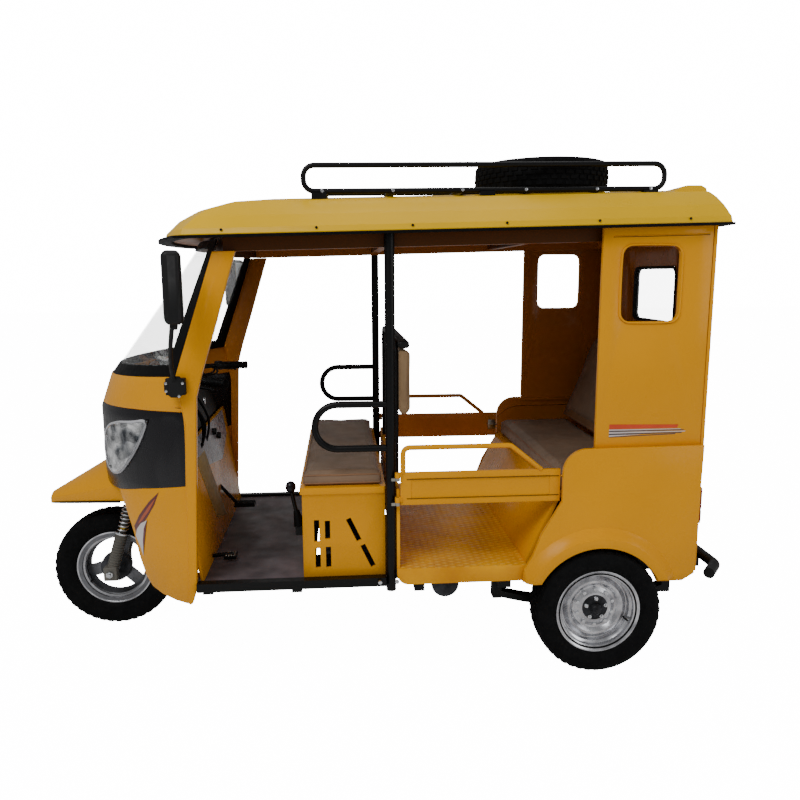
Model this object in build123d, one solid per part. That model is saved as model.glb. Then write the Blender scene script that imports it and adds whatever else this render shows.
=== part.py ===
"""Three-wheeled passenger auto rickshaw with a roof rack, built as separate pieces.

X runs from the nose (-X) to the tail (+X), Y from the left side to the right, and Z up from the
road. Lengths are millimetres. The origin is on the road, under the middle of the vehicle.
"""

from build123d import *
import os
from math import asin, cos, degrees, radians, sin, sqrt

# ------------------------------------------------------------------ driving dimensions
# clearances
SEAT_GAP = 0.3          # between a piece and the piece of the same body that it seats on
RUN_GAP = 0.3           # round a turning shaft or pin
SHEET = 12              # body panels, from the outer skin to the inner one

# wheels
FRONT_AXLE_X = -1180
FRONT_TYRE_R = 267.5
FRONT_TYRE_W = 114
REAR_AXLE_X = 856
REAR_TYRE_R = 254
REAR_TYRE_W = 145
SPARE_R = 272
SPARE_W = 122
BEAD_R = 152
RIM_FLANGE_R = 169
RIM_WALL = 6
HOUSING_R = 318         # outside of the housings over the rear wheels
ARCH_R = 266            # opening of the side panels over the rear wheels
FLARE_R = 340           # flare round it, at the panel
FLARE_FACE_R = 302      # and at its outer face
FLARE_OUT = 34          # from the panel to that face
BEAD_SHARE = 0.34       # half width of a tyre's bead over the width of the tyre
AXLE_PIN_R = 9          # front axle
HALF_SHAFT_R = 16       # rear axle ends

# body outline
BODY_HALF = 600         # to the outer face of the side panels
REAR_BODY_HALF = BODY_HALF + 20     # lower rear body, which is wider
REAR_TRACK = 2 * BODY_HALF - 20     # between the middles of the rear tyres
PILLAR_X = 40           # round centre pillars
PILLAR_Y = BODY_HALF - 25
PILLAR_R = 19
PILLAR_BOTTOM = 350
REAR_EDGE_X = 1268      # rear edge of the side panels
REAR_BULGE = 45         # how far the rear wall bows out in its middle

REAR_WALL_LOW_Z = 392
REAR_WINDOW_HALF = 225
REAR_WINDOW_LOW = 1352
REAR_WINDOW_HIGH = 1605

# handrail loops beside the driver: axis of the tube
RAIL_LOOP_LOW = 922
RAIL_LOOP_HIGH = 1092
RAIL_LOOP_NOSE = -245
RAIL_LOOP_R = 13

SEAT_FRONT_X = -302     # front of the driver's seat box
SEAT_BOX_TOP = 740      # under its lid
SEAT_LID = 26
BULKHEAD_TOP = 762      # behind the driver's seat
BENCH_Z = 720           # top of the passengers' bench, under its cushion

# chassis
RAIL_Y = 330
RAIL_W = 50
RAIL_H = 45
RAIL_TOP = 345
RAIL_FRONT_X = -700
FLOOR_Z = 397           # top of the driver's floor
TUB_FLOOR_Z = 443       # top of the passenger floor

# rear bumper
BUMPER_X = 1412
BUMPER_END_X = 1340     # its wrapped ends
BUMPER_Z = 366
BUMPER_R = 22.5

# engine, as a plain block, and silencer
ENGINE_X0 = -250
ENGINE_X1 = -2
ENGINE_HALF = 180
ENGINE_Z0 = 262
ENGINE_Z1 = 640
SILENCER_X = 252
SILENCER_L = 220
SILENCER_R = 54

ROOF_Z = 1727           # lip of the roof above the middle of the vehicle

# cowl, leg shields and windscreen: a bow in plan, lofted between levels
COWL_HALF = BODY_HALF - 20
BOW_SPREAD = 1.5        # half width of the bow's ellipse over the cowl's half width
COWL_TOP_NOSE_Z = 1172  # seam of cowl and windscreen at the nose
COWL_TOP_SIDE_Z = 1214  # the same seam at the door
SCREEN_LOW_Z = 1112     # the screen's surface starts inside the cowl
SCREEN_LOW_X = -779     # its rear edges, at the pillars
SCREEN_TOP_Z = ROOF_Z - 27
SCREEN_TOP_X = -579
SCREEN_THICK = 6
BLACK_TOP_Z = 1050
LEG_BOTTOM_Z = 322
TOE_HALF = COWL_HALF - 28
TOE_TOP_Z = 900
PILLAR_PROUD = 10       # front pillars, from the cowl's side
MIRROR_TOE = 14         # degrees, the glasses turned towards the driver
DOOR_LINE_X = -680      # just behind the cowl's rear edge
AHEAD_X = -1400         # ahead of the nose
# cowl and leg shield surface: z, x at the nose, x at the door
COWL_LEVELS = (
    (LEG_BOTTOM_Z, -1130, -738),
    (770, -1180, -727),
    (1030, -1180, -717),
    (1240, -1100, -750),
)
# leaf-shaped headlamp, in the side view
LAMP_OUTLINE = (
    (-884, 1030), (-955, 1010), (-1030, 1000), (-1095, 972), (-1128, 920), (-1135, 850), (-1118, 795),
    (-1078, 776), (-1040, 790), (-1005, 825), (-948, 900), (-908, 972),
)


# roof
ROOF_TILT = 1.4         # degrees, nose down
ROOF_WALL = 14
LIP = 10                # thickness of the rubber lip under it
BEAM_H = 55
BEAM_W = 40
BEAM_FRONT_X = -560
TAIL_HALF = BODY_HALF - 112
# roof outside, by level above its lip: height, half width, x at the nose, at the front corner, at the rear
ROOF_LEVELS = (
    (0, BODY_HALF + 40, -852, -690, 1300),
    (22, BODY_HALF + 36, -845, -682, 1297),
    (66, BODY_HALF, -800, -640, 1285),
    (98, BODY_HALF - 40, -742, -590, 1276),
    (122, BODY_HALF - 80, -664, -510, 1266),
    (136, BODY_HALF - 160, -500, -380, 1250),
)
# raised bead across the roof's tail: x and height in the roof's own frame
ROOF_TAIL = ((1120, 112), (1150, 132), (1180, 147), (1196, 150), (1250, 149), (1270, 138), (1278, 112))

# roof rack and spare wheel
RACK_FRONT_X = -268
RACK_REAR_X = 1097
RACK_Y = BODY_HALF - 110
RACK_LOW_Z = 1884       # axis of the lower rail, middle of the rack
RACK_H = 92
RACK_TUBE_R = 10
RACK_TILT = 0.7
SPARE_X = 696
SPARE_Y = -200

# steering
RAKE = 17               # degrees
FORK_Y = 92
SLIDER_TOP_S = 190
LOWER_CLAMP_S = 372     # along the steering axis, from the front axle
HEAD_START_S = 396
HEAD_END_S = 560
BAR_S = 905
STEM_R = 14
NECK_R = 18             # tubes from the chassis to the steering head
SLIDER_R = 24           # lower parts of the fork legs
TUBE_R = 16             # upper parts
BAR_R = 11
GRIP_R = 17

# pedals and gear lever
BRAKE_Y = 100
SHIFT_Y = -330
ARM_R = 8

# passenger gates
GATE_HINGE_X = 64
GATE_HINGE_Y = BODY_HALF + 6
GATE_END_X = 697
GATE_BOTTOM_Z = 702
GATE_PANEL_TOP_Z = 830
GATE_RAIL_Z = 926
GATE_RAIL_R = 10
HINGE_LEVELS = (715, 812)
HINGE_PIN_R = 5
KNUCKLE_R = 10


# ------------------------------------------------------------------ helpers
def block(x0, x1, y0, y1, z0, z1):
    """Box between two corners."""
    size = (abs(x1 - x0), abs(y1 - y0), abs(z1 - z0))
    middle = ((x0 + x1) / 2, (y0 + y1) / 2, (z0 + z1) / 2)
    return Pos(*middle) * Box(*size)


def side_plate(outline, y0, y1):
    """Plate with an outline in XZ, from y0 to y1."""
    wire = Plane.XZ * Polyline(*outline, close=True)
    face = Pos(0, y0, 0) * make_face(wire)
    return extrude(face, amount=y1 - y0, dir=(0, 1, 0))


def rod(start, end, radius):
    """Round bar between two points."""
    a, b = Vector(*start), Vector(*end)
    plane = Plane(origin=a, z_dir=b - a)
    return extrude(plane * Circle(radius), amount=(b - a).length)


def bent_tube(points, bend, radius):
    """Round bar along straight runs joined by bends of one radius."""
    path = FilletPolyline(*points, radius=bend)
    start = Plane(origin=path @ 0, z_dir=path % 0)
    return sweep(start * Circle(radius), path=path)


def both_sides(piece):
    """The piece and its mirror image across the middle of the vehicle."""
    return [piece, mirror(piece, about=Plane.XZ)]


def turned(outline):
    """Revolve an outline of (y, radius) about the Y axis."""
    return revolve(make_face(Plane.YZ * Polyline(*outline, close=True)), axis=Axis.Y)


def save(node, *solids):
    """Write one node."""
    pieces = []
    for solid in solids:
        pieces += solid.solids()
    shape = pieces[0] if len(pieces) == 1 else Compound(children=pieces)
    export_step(shape, f"parts/{node}.step")


# ------------------------------------------------------------------ wheels
def tyre(radius, width):
    """Rubber ring about the Y axis, with round shoulders and a slightly crowned tread."""
    bore = BEAD_R + SEAT_GAP
    bead = width * BEAD_SHARE
    tread = width * 0.37
    crown = 7
    flank = RIM_FLANGE_R + 1
    waist = flank + 0.45 * (radius - flank)
    profile = [
        Line((-bead, bore), (bead, bore)),
        Line((bead, bore), (bead, flank)),
        ThreePointArc((bead, flank), (width / 2, waist), (tread, radius - crown)),
        ThreePointArc((tread, radius - crown), (0, radius), (-tread, radius - crown)),
        ThreePointArc((-tread, radius - crown), (-width / 2, waist), (-bead, flank)),
        Line((-bead, flank), (-bead, bore)),
    ]
    return revolve(Plane.YZ * make_face(profile), axis=Axis.Y)


def rim(width, disc_out, disc_in, hub_r, hub_half, bore_r, windows):
    """Pressed rim: flanged barrel, dished disc and hub. The disc goes from disc_out to disc_in along Y."""
    lip = 4.5
    half = width * BEAD_SHARE + SEAT_GAP + lip
    inner = BEAD_R - RIM_WALL
    barrel = turned([
        (-half, RIM_FLANGE_R), (-half + lip, RIM_FLANGE_R), (-half + lip, BEAD_R), (half - lip, BEAD_R),
        (half - lip, RIM_FLANGE_R), (half, RIM_FLANGE_R), (half, inner), (-half, inner),
    ])
    disc = turned([
        (disc_in, hub_r - 2), (disc_in + RIM_WALL, hub_r - 2), (disc_out + RIM_WALL, inner + 2),
        (disc_out, inner + 2),
    ])
    hub = turned([(-hub_half, bore_r), (hub_half, bore_r), (hub_half, hub_r), (-hub_half, hub_r)])
    return (barrel + (disc - windows) + hub).solid()


def round_windows(count, window_r, ring_r):
    """Round holes on a ring, along Y."""
    holes = []
    for i in range(count):
        place = Rot(0, 360 / count * (i + 0.5), 0) * Pos(0, 0, ring_r)
        holes.append(place * Rot(90, 0, 0) * Cylinder(window_r, REAR_TYRE_W))
    return holes


def spoked_windows(spokes, inner_r, outer_r, spoke_w):
    """Wide openings that leave broad spokes between them, along Y."""
    ring = Circle(outer_r) - Circle(inner_r)
    for i in range(spokes):
        ring -= Rot(0, 0, 360 / spokes * i) * Pos(outer_r / 2, 0) * Rectangle(outer_r + 2, spoke_w)
    slots = extrude(ring, amount=FRONT_TYRE_W)
    return [Rot(90, 0, 0) * Pos(0, 0, -FRONT_TYRE_W / 2) * slot for slot in slots.solids()]


def make_wheels():
    """Front wheel, two rear wheels and the spare."""
    front_place = Pos(FRONT_AXLE_X, 0, FRONT_TYRE_R)
    save("front_tyre", front_place * tyre(FRONT_TYRE_R, FRONT_TYRE_W))
    front = rim(FRONT_TYRE_W, 14, 10, 38, 36, AXLE_PIN_R + RUN_GAP, spoked_windows(3, 62, 122, 58))
    save("front_rim", front_place * Rot(0, 45, 0) * front)
    dimples = round_windows(8, 11, 97)
    for side, name in ((-1, "left"), (1, "right")):
        place = Pos(REAR_AXLE_X, side * REAR_TRACK / 2, REAR_TYRE_R)
        save(f"rear_tyre_{name}", place * tyre(REAR_TYRE_R, REAR_TYRE_W))
        wheel = rim(REAR_TYRE_W, -6, 12, 48, 40, HALF_SHAFT_R + RUN_GAP, dimples)
        if side < 0:
            wheel = Rot(0, 0, 180) * wheel
        save(f"rear_rim_{name}", place * wheel)
    lying = on_rack(Pos(SPARE_X, SPARE_Y, RACK_LOW_Z + 7 + SPARE_W / 2) * Rot(90, 0, 0))
    save("spare_tyre", lying * tyre(SPARE_R, SPARE_W))
    save("spare_rim", lying * rim(SPARE_W, 12, -4, 48, 20, HALF_SHAFT_R, dimples))


# ------------------------------------------------------------------ chassis
def make_chassis():
    """Two rails with cross members on them, the steering head, and the rear axle on its leaf springs."""
    rail_rear = REAR_EDGE_X - 8
    rail_in, rail_out = RAIL_Y - RAIL_W / 2, RAIL_Y + RAIL_W / 2
    rail = block(RAIL_FRONT_X, rail_rear, rail_in, rail_out, RAIL_TOP - RAIL_H, RAIL_TOP)
    # cross members: middle x, length along x, half length along y, top z
    members = []
    for x, length, half, top in (
        (-675, 40, COWL_HALF - 30, FLOOR_Z - SHEET),
        (-330, 40, BODY_HALF - 40, FLOOR_Z - SHEET),
        (PILLAR_X, 36, PILLAR_Y - PILLAR_R, FLOOR_Z - SHEET),
        (150, 40, BODY_HALF - SHEET, TUB_FLOOR_Z - SHEET),
        (490, 50, BODY_HALF - SHEET, TUB_FLOOR_Z - SHEET),
        (1215, 50, RAIL_Y + 130, TUB_FLOOR_Z - SHEET),
    ):
        members.append(block(x - length / 2, x + length / 2, -half, half, RAIL_TOP + SEAT_GAP, top))
    save("chassis_frame", *both_sides(rail), *members)

    # leaf spring, with its front hanger and rear shackle, under the axle
    spring_y, spring_w, leaf = 430, 50, 28
    front_x, rear_x, eye_z = 490, 1215, 262
    middle_z = REAR_TYRE_R - 32 - leaf / 2 - SEAT_GAP
    low, top = eye_z - leaf / 2, eye_z + leaf / 2
    arc_low = ThreePointArc((front_x, low), (REAR_AXLE_X, middle_z - leaf / 2), (rear_x, low))
    arc_top = ThreePointArc((rear_x, top), (REAR_AXLE_X, middle_z + leaf / 2), (front_x, top))
    wire = [arc_low, Line(arc_low @ 1, arc_top @ 0), arc_top, Line(arc_top @ 1, arc_low @ 0)]
    face = Pos(0, spring_y - spring_w / 2, 0) * (Plane.XZ * make_face(wire))
    blade = extrude(face, amount=spring_w, dir=(0, 1, 0))
    hangers = [
        block(x - 18, x + 18, spring_y - spring_w / 2, spring_y + spring_w / 2, eye_z - 22, RAIL_TOP)
        for x in (front_x, rear_x)
    ]
    save("leaf_springs", *both_sides((blade + hangers).solid()))

    axle_in = REAR_TRACK / 2 - REAR_TYRE_W / 2 - 30
    tube = turned([(-axle_in, 0), (axle_in, 0), (axle_in, 32), (-axle_in, 32)])
    shaft_end = REAR_TRACK / 2 + 36
    shaft = turned([(-shaft_end, 0), (shaft_end, 0), (shaft_end, HALF_SHAFT_R), (-shaft_end, HALF_SHAFT_R)])
    casing = turned([(-60, 0), (60, 0), (60, 60), (35, 92), (-35, 92), (-60, 60)])
    plates = []
    for side in (-1, 1):
        y0, y1 = sorted((side * axle_in, side * (axle_in + 24)))
        plates.append(turned([(y0, 0), (y1, 0), (y1, 118), (y0, 118)]))
    axle = Pos(REAR_AXLE_X, 0, REAR_TYRE_R) * (tube + shaft + casing + plates)
    save("rear_axle", axle.solid())

    # bumper tube, wrapping forward at its ends, on two arms
    wrap, end = BODY_HALF - 120, BODY_HALF - 30
    bends = ((BUMPER_END_X, -end), (BUMPER_X, -wrap), (BUMPER_X, wrap), (BUMPER_END_X, end))
    bar = bent_tube([(x, y, BUMPER_Z) for x, y in bends], 2 * BUMPER_R, BUMPER_R)
    arm_x = REAR_EDGE_X - 8 + SEAT_GAP
    arm = block(arm_x, BUMPER_X - 2, RAIL_Y - 20, RAIL_Y + 20, RAIL_TOP - RAIL_H + 4, BUMPER_Z - 12)
    save("rear_bumper", (bar + both_sides(arm)).solid())


def steering_point(s, forward=0, y=0):
    """Point s up the steering axis from the front axle, forward of it and to one side."""
    x = FRONT_AXLE_X + s * sin(radians(RAKE)) - forward * cos(radians(RAKE))
    z = FRONT_TYRE_R + s * cos(radians(RAKE)) + forward * sin(radians(RAKE))
    return (x, y, z)


def make_steering():
    """Head tube and neck on the chassis, and the fork and handlebar that turn in it."""
    head = rod(steering_point(HEAD_START_S), steering_point(HEAD_END_S), STEM_R + 12)
    neck_top = steering_point((HEAD_START_S + HEAD_END_S) / 2)
    neck = []
    for side in (-1, 1):
        low = (RAIL_FRONT_X + 20, side * RAIL_Y, RAIL_TOP - 24)
        knee = (RAIL_FRONT_X - 90, side * RAIL_Y, RAIL_TOP - 12)
        path = [neck_top, (-880, side * 130, 640), (-830, side * 280, 480), knee, low]
        neck.append(bent_tube(path, 40, NECK_R))
    bore = rod(steering_point(HEAD_START_S - 5), steering_point(HEAD_END_S + 5), STEM_R + RUN_GAP)
    rail_room = block(RAIL_FRONT_X - SEAT_GAP, -600, -400, 400, RAIL_TOP - RAIL_H - 30, RAIL_TOP + 30)
    save("steering_head", (head + neck - bore - rail_room).solids().sort_by(SortBy.VOLUME)[-1])

    clamp_low, clamp_high = LOWER_CLAMP_S - 12, LOWER_CLAMP_S + 12
    stem = rod(steering_point(clamp_high - 1), steering_point(BAR_S), STEM_R)
    axis = Vector(*steering_point(1)) - Vector(*steering_point(0))
    clamp_plane = Plane(origin=steering_point(clamp_low), x_dir=(0, 1, 0), z_dir=axis)
    clamp_outline = RectangleRounded(2 * FORK_Y + 56, 64, 20)
    clamp = extrude(clamp_plane * clamp_outline, amount=clamp_high - clamp_low)
    legs = []
    for side in (-1, 1):
        y = side * FORK_Y
        legs.append(rod(steering_point(-22, 0, y), steering_point(SLIDER_TOP_S, 0, y), SLIDER_R))
        legs.append(rod(steering_point(SLIDER_TOP_S - 1, 0, y), steering_point(clamp_low + 1, 0, y), TUBE_R))
    pin_end = FORK_Y + 36
    pin = Pos(FRONT_AXLE_X, 0, FRONT_TYRE_R) * Rot(90, 0, 0) * Cylinder(AXLE_PIN_R, 2 * pin_end)
    save("fork", (stem + clamp + legs + pin).solid())

    bar_low = steering_point(BAR_S)
    x0, z0 = bar_low[0], bar_low[2] + 14
    half = [(x0, 0, z0), (x0 + 25, 140, z0 + 6), (x0 + 190, 265, z0), (x0 + 305, 325, z0 - 6)]
    points = [(x, -y, z) for x, y, z in reversed(half[1:])] + half[1:]
    bar = bent_tube(points, 40, BAR_R)
    grips = []
    for side in (-1, 1):
        end = half[-1]
        before = half[-2]
        inner_end = (before[0] + 12, side * (before[1] + 6), before[2])
        outer_end = (end[0] + 3, side * (end[1] + 2), end[2])
        grips.append(rod(inner_end, outer_end, GRIP_R))
    post = rod(steering_point(BAR_S + SEAT_GAP), steering_point(BAR_S + 24), 24)
    pod = block(x0 - 60, x0 + 50, -75, 75, z0 - 8, z0 + 40)
    save("handlebar", (bar + grips + post + pod).solid())


# ------------------------------------------------------------------ cowl and windscreen
def bow_arc(half, side_x, nose_x):
    """Elliptical bow in plan, from the right side round the nose to the left side."""
    depth = (side_x - nose_x) / (1 - sqrt(1 - 1 / BOW_SPREAD ** 2))
    reach = degrees(asin(1 / BOW_SPREAD))
    middle = (nose_x + depth, 0)
    return EllipticalCenterArc(middle, depth, BOW_SPREAD * half, 180 - reach, arc_size=2 * reach)


def bow_face(half, side_x, nose_x, z, thick=0):
    """Plan outline at a level: the bow closed by a straight back, or only the strip behind the bow."""
    outer = bow_arc(half, side_x, nose_x)
    if not thick:
        return Pos(0, 0, z) * make_face([outer, Line(outer @ 1, outer @ 0)])
    inner = bow_arc(half - thick, side_x, nose_x + thick)
    return Pos(0, 0, z) * make_face([outer, Line(outer @ 1, inner @ 1), inner, Line(inner @ 0, outer @ 0)])


def cowl_solid(grow=0):
    """Everything inside the cowl's outer surface, or grown outwards."""
    faces = [bow_face(COWL_HALF + grow, x_side, x_nose - grow, z) for z, x_nose, x_side in COWL_LEVELS]
    return loft(faces, ruled=True)


def cowl_skin(thick=SHEET):
    """The cowl's sheet, all the way from the leg shields to the windscreen."""
    faces = [bow_face(COWL_HALF, x_side, x_nose, z, thick) for z, x_nose, x_side in COWL_LEVELS]
    return loft(faces, ruled=True)


def below_line(points):
    """Everything under a line drawn in the side view, from nose to tail."""
    first, last = points[0], points[-1]
    outline = list(points) + [(last[0], 0), (first[0], 0)]
    return side_plate(outline, -2 * BODY_HALF, 2 * BODY_HALF)


def lamp_bar(side, shrink=0):
    """Bar along Y with the headlamp's outline, through one side of the cowl."""
    face = make_face(Plane.XZ * Polyline(*LAMP_OUTLINE, close=True))
    if shrink:
        face = offset(face, amount=-shrink)
    y0 = min(side * (COWL_HALF - 430), side * (COWL_HALF + 60))
    return extrude(Pos(0, y0, 0) * face, amount=490, dir=(0, 1, 0))


def make_cowl():
    """Upper cowl, black panel with its two headlamps, leg shields, beak, dash and toe panel."""
    skin = cowl_skin()
    top_cut = below_line([(AHEAD_X, COWL_TOP_NOSE_Z - 26), (DOOR_LINE_X, COWL_TOP_SIDE_Z)])
    black_top = below_line([(AHEAD_X, BLACK_TOP_Z - 12), (DOOR_LINE_X, BLACK_TOP_Z + 26)])
    black_low = below_line([(AHEAD_X, 690), (-1050, 716), (-924, 751), (DOOR_LINE_X, 802)])
    save("cowl_upper", ((skin & top_cut) - black_top).solid())

    lamps = []
    pockets = []
    for side in (-1, 1):
        pockets.append(lamp_bar(side))
        lens = (cowl_solid(8) - cowl_solid(-SHEET)) & lamp_bar(side, SEAT_GAP)
        lamps.append(lens.solids().sort_by(SortBy.VOLUME)[-1])
    black = (skin & black_top) - black_low - pockets
    save("cowl_black_panel", black.solids().sort_by(SortBy.VOLUME)[-1])
    save("headlights", *lamps)

    # leg shields: the same sheet, with the wheel's arch cut out of its front
    arch = side_plate([
        (-1300, 800), (-1072, 800), (-1052, 708), (-1028, 655), (-990, 547), (-966, 446), (-939, 379),
        (-909, 346), (-860, 330), (-800, 322), (-800, 200), (-1300, 200),
    ], -2 * BODY_HALF, 2 * BODY_HALF)
    shields = (skin & black_low) - arch
    save("leg_shields", *shields.solids())

    # beak: a hollow nose over the wheel, its rear end against the cowl
    tip = beak_section(-1437, 44, 583, 603, 624)
    root = beak_section(-1070, 222, 630, 705, 840)
    hollow_tip = beak_section(-1430, 37, 582, 598, 615)
    hollow_root = beak_section(-1063, 213, 629, 700, 828)
    behind = cowl_solid() - black_low
    beak = loft([tip, root], ruled=True) - loft([hollow_tip, hollow_root], ruled=True) - behind
    save("beak", beak.solids().sort_by(SortBy.VOLUME)[-1])

    toe = toe_slab() - cowl_skin(SHEET + SEAT_GAP)
    save("toe_panel", toe.solids().sort_by(SortBy.VOLUME)[-1])

    stem_room = rod(steering_point(HEAD_END_S), steering_point(BAR_S + 200), STEM_R + 10)
    dash_half = COWL_HALF - 110
    dash_low = TOE_TOP_Z + SEAT_GAP
    dash_outline = [(-1040, 1085), (-840, 1092), (-780, dash_low), (-1040, dash_low)]
    dash = side_plate(dash_outline, -dash_half, dash_half)
    dash = (dash & cowl_solid(-SHEET - SEAT_GAP)) - stem_room
    save("dash", dash.solids().sort_by(SortBy.VOLUME)[-1])


def beak_section(x, half, low, crease, top):
    """Cross section of the beak: upright sides up to a crease and a round back over them."""
    back = ThreePointArc((-half, crease), (0, top), (half, crease))
    sides = Polyline((half, crease), (half, low), (-half, low), (-half, crease))
    return Pos(x, 0, 0) * (Plane.YZ * make_face([back, sides]))


def toe_slab(grow=0):
    """Sloping wall behind the front wheel."""
    low = FLOOR_Z + SEAT_GAP
    outline = [(-770 - grow, TOE_TOP_Z), (-758 + grow, TOE_TOP_Z), (-688 + grow, low), (-700 - grow, low)]
    return side_plate(outline, -TOE_HALF, TOE_HALF)


def make_windows():
    """Windscreen and rear window: a rubber seal round each glass."""
    # windscreen surface: z, x at the nose, x at the door, half width
    levels = (
        (SCREEN_LOW_Z, -1167, SCREEN_LOW_X, COWL_HALF),
        (SCREEN_TOP_Z, -722, SCREEN_TOP_X, COWL_HALF - 12),
    )

    def screen(thick, back=0):
        faces = [bow_face(half, side_x + back, nose_x + back, z, thick) for z, nose_x, side_x, half in levels]
        return loft(faces, ruled=True)

    nose_z, side_z = COWL_TOP_NOSE_Z - 26 + SEAT_GAP, COWL_TOP_SIDE_Z + SEAT_GAP
    cowl_top = below_line([(AHEAD_X, nose_z), (DOOR_LINE_X, side_z), (0, side_z + 20)])
    band = below_line([(AHEAD_X, nose_z + 38), (DOOR_LINE_X, side_z + 40), (0, side_z + 60)])
    low, high, top_z = COWL_HALF - 35, COWL_HALF - 58, SCREEN_TOP_Z - 28
    corners = [(-low, nose_z), (low, nose_z), (high, top_z), (-high, top_z)]
    window = Plane.YZ * make_face(Polyline(*corners, close=True))
    window = Pos(AHEAD_X, 0, 0) * extrude(window, amount=-AHEAD_X, dir=(1, 0, 0)) - band
    seal = screen(18) - cowl_top - window
    glass = (screen(SCREEN_THICK, 6) - cowl_top) & window

    # the rear window is cut in the bowed rear wall
    rear_seal = rear_wall_slab(24, 4) & rear_window_bar(
        REAR_WINDOW_HALF - SEAT_GAP, REAR_WINDOW_LOW + SEAT_GAP, REAR_WINDOW_HIGH - SEAT_GAP, 35
    )
    rear_hole = rear_window_bar(REAR_WINDOW_HALF - 12, REAR_WINDOW_LOW + 12, REAR_WINDOW_HIGH - 12, 30)
    rear_pane = rear_wall_slab(5, -4) & rear_hole
    save("window_seals", seal.solids().sort_by(SortBy.VOLUME)[-1], (rear_seal - rear_hole).solid())
    save("window_glass", glass.solids().sort_by(SortBy.VOLUME)[-1], rear_pane.solid())


def rear_wall_slab(thick, proud=0):
    """The bowed rear wall as a slab, proud of its outer face by some amount."""
    edge, nose = REAR_EDGE_X + proud, REAR_EDGE_X + REAR_BULGE + proud
    outer = ThreePointArc((edge, -BODY_HALF), (nose, 0), (edge, BODY_HALF))
    inner = ThreePointArc((edge - thick, BODY_HALF), (nose - thick, 0), (edge - thick, -BODY_HALF))
    wire = [outer, Line(outer @ 1, inner @ 0), inner, Line(inner @ 1, outer @ 0)]
    return extrude(Pos(0, 0, REAR_WALL_LOW_Z) * make_face(wire), amount=1780 - REAR_WALL_LOW_Z)


def rear_window_bar(half, low, high, radius):
    """Rounded bar along X with the outline of the rear window."""
    middle = (low + high) / 2
    face = Plane.YZ * (Pos(0, middle) * RectangleRounded(2 * half, high - low, radius))
    return extrude(Pos(1100, 0, 0) * face, amount=400, dir=(1, 0, 0))


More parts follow.
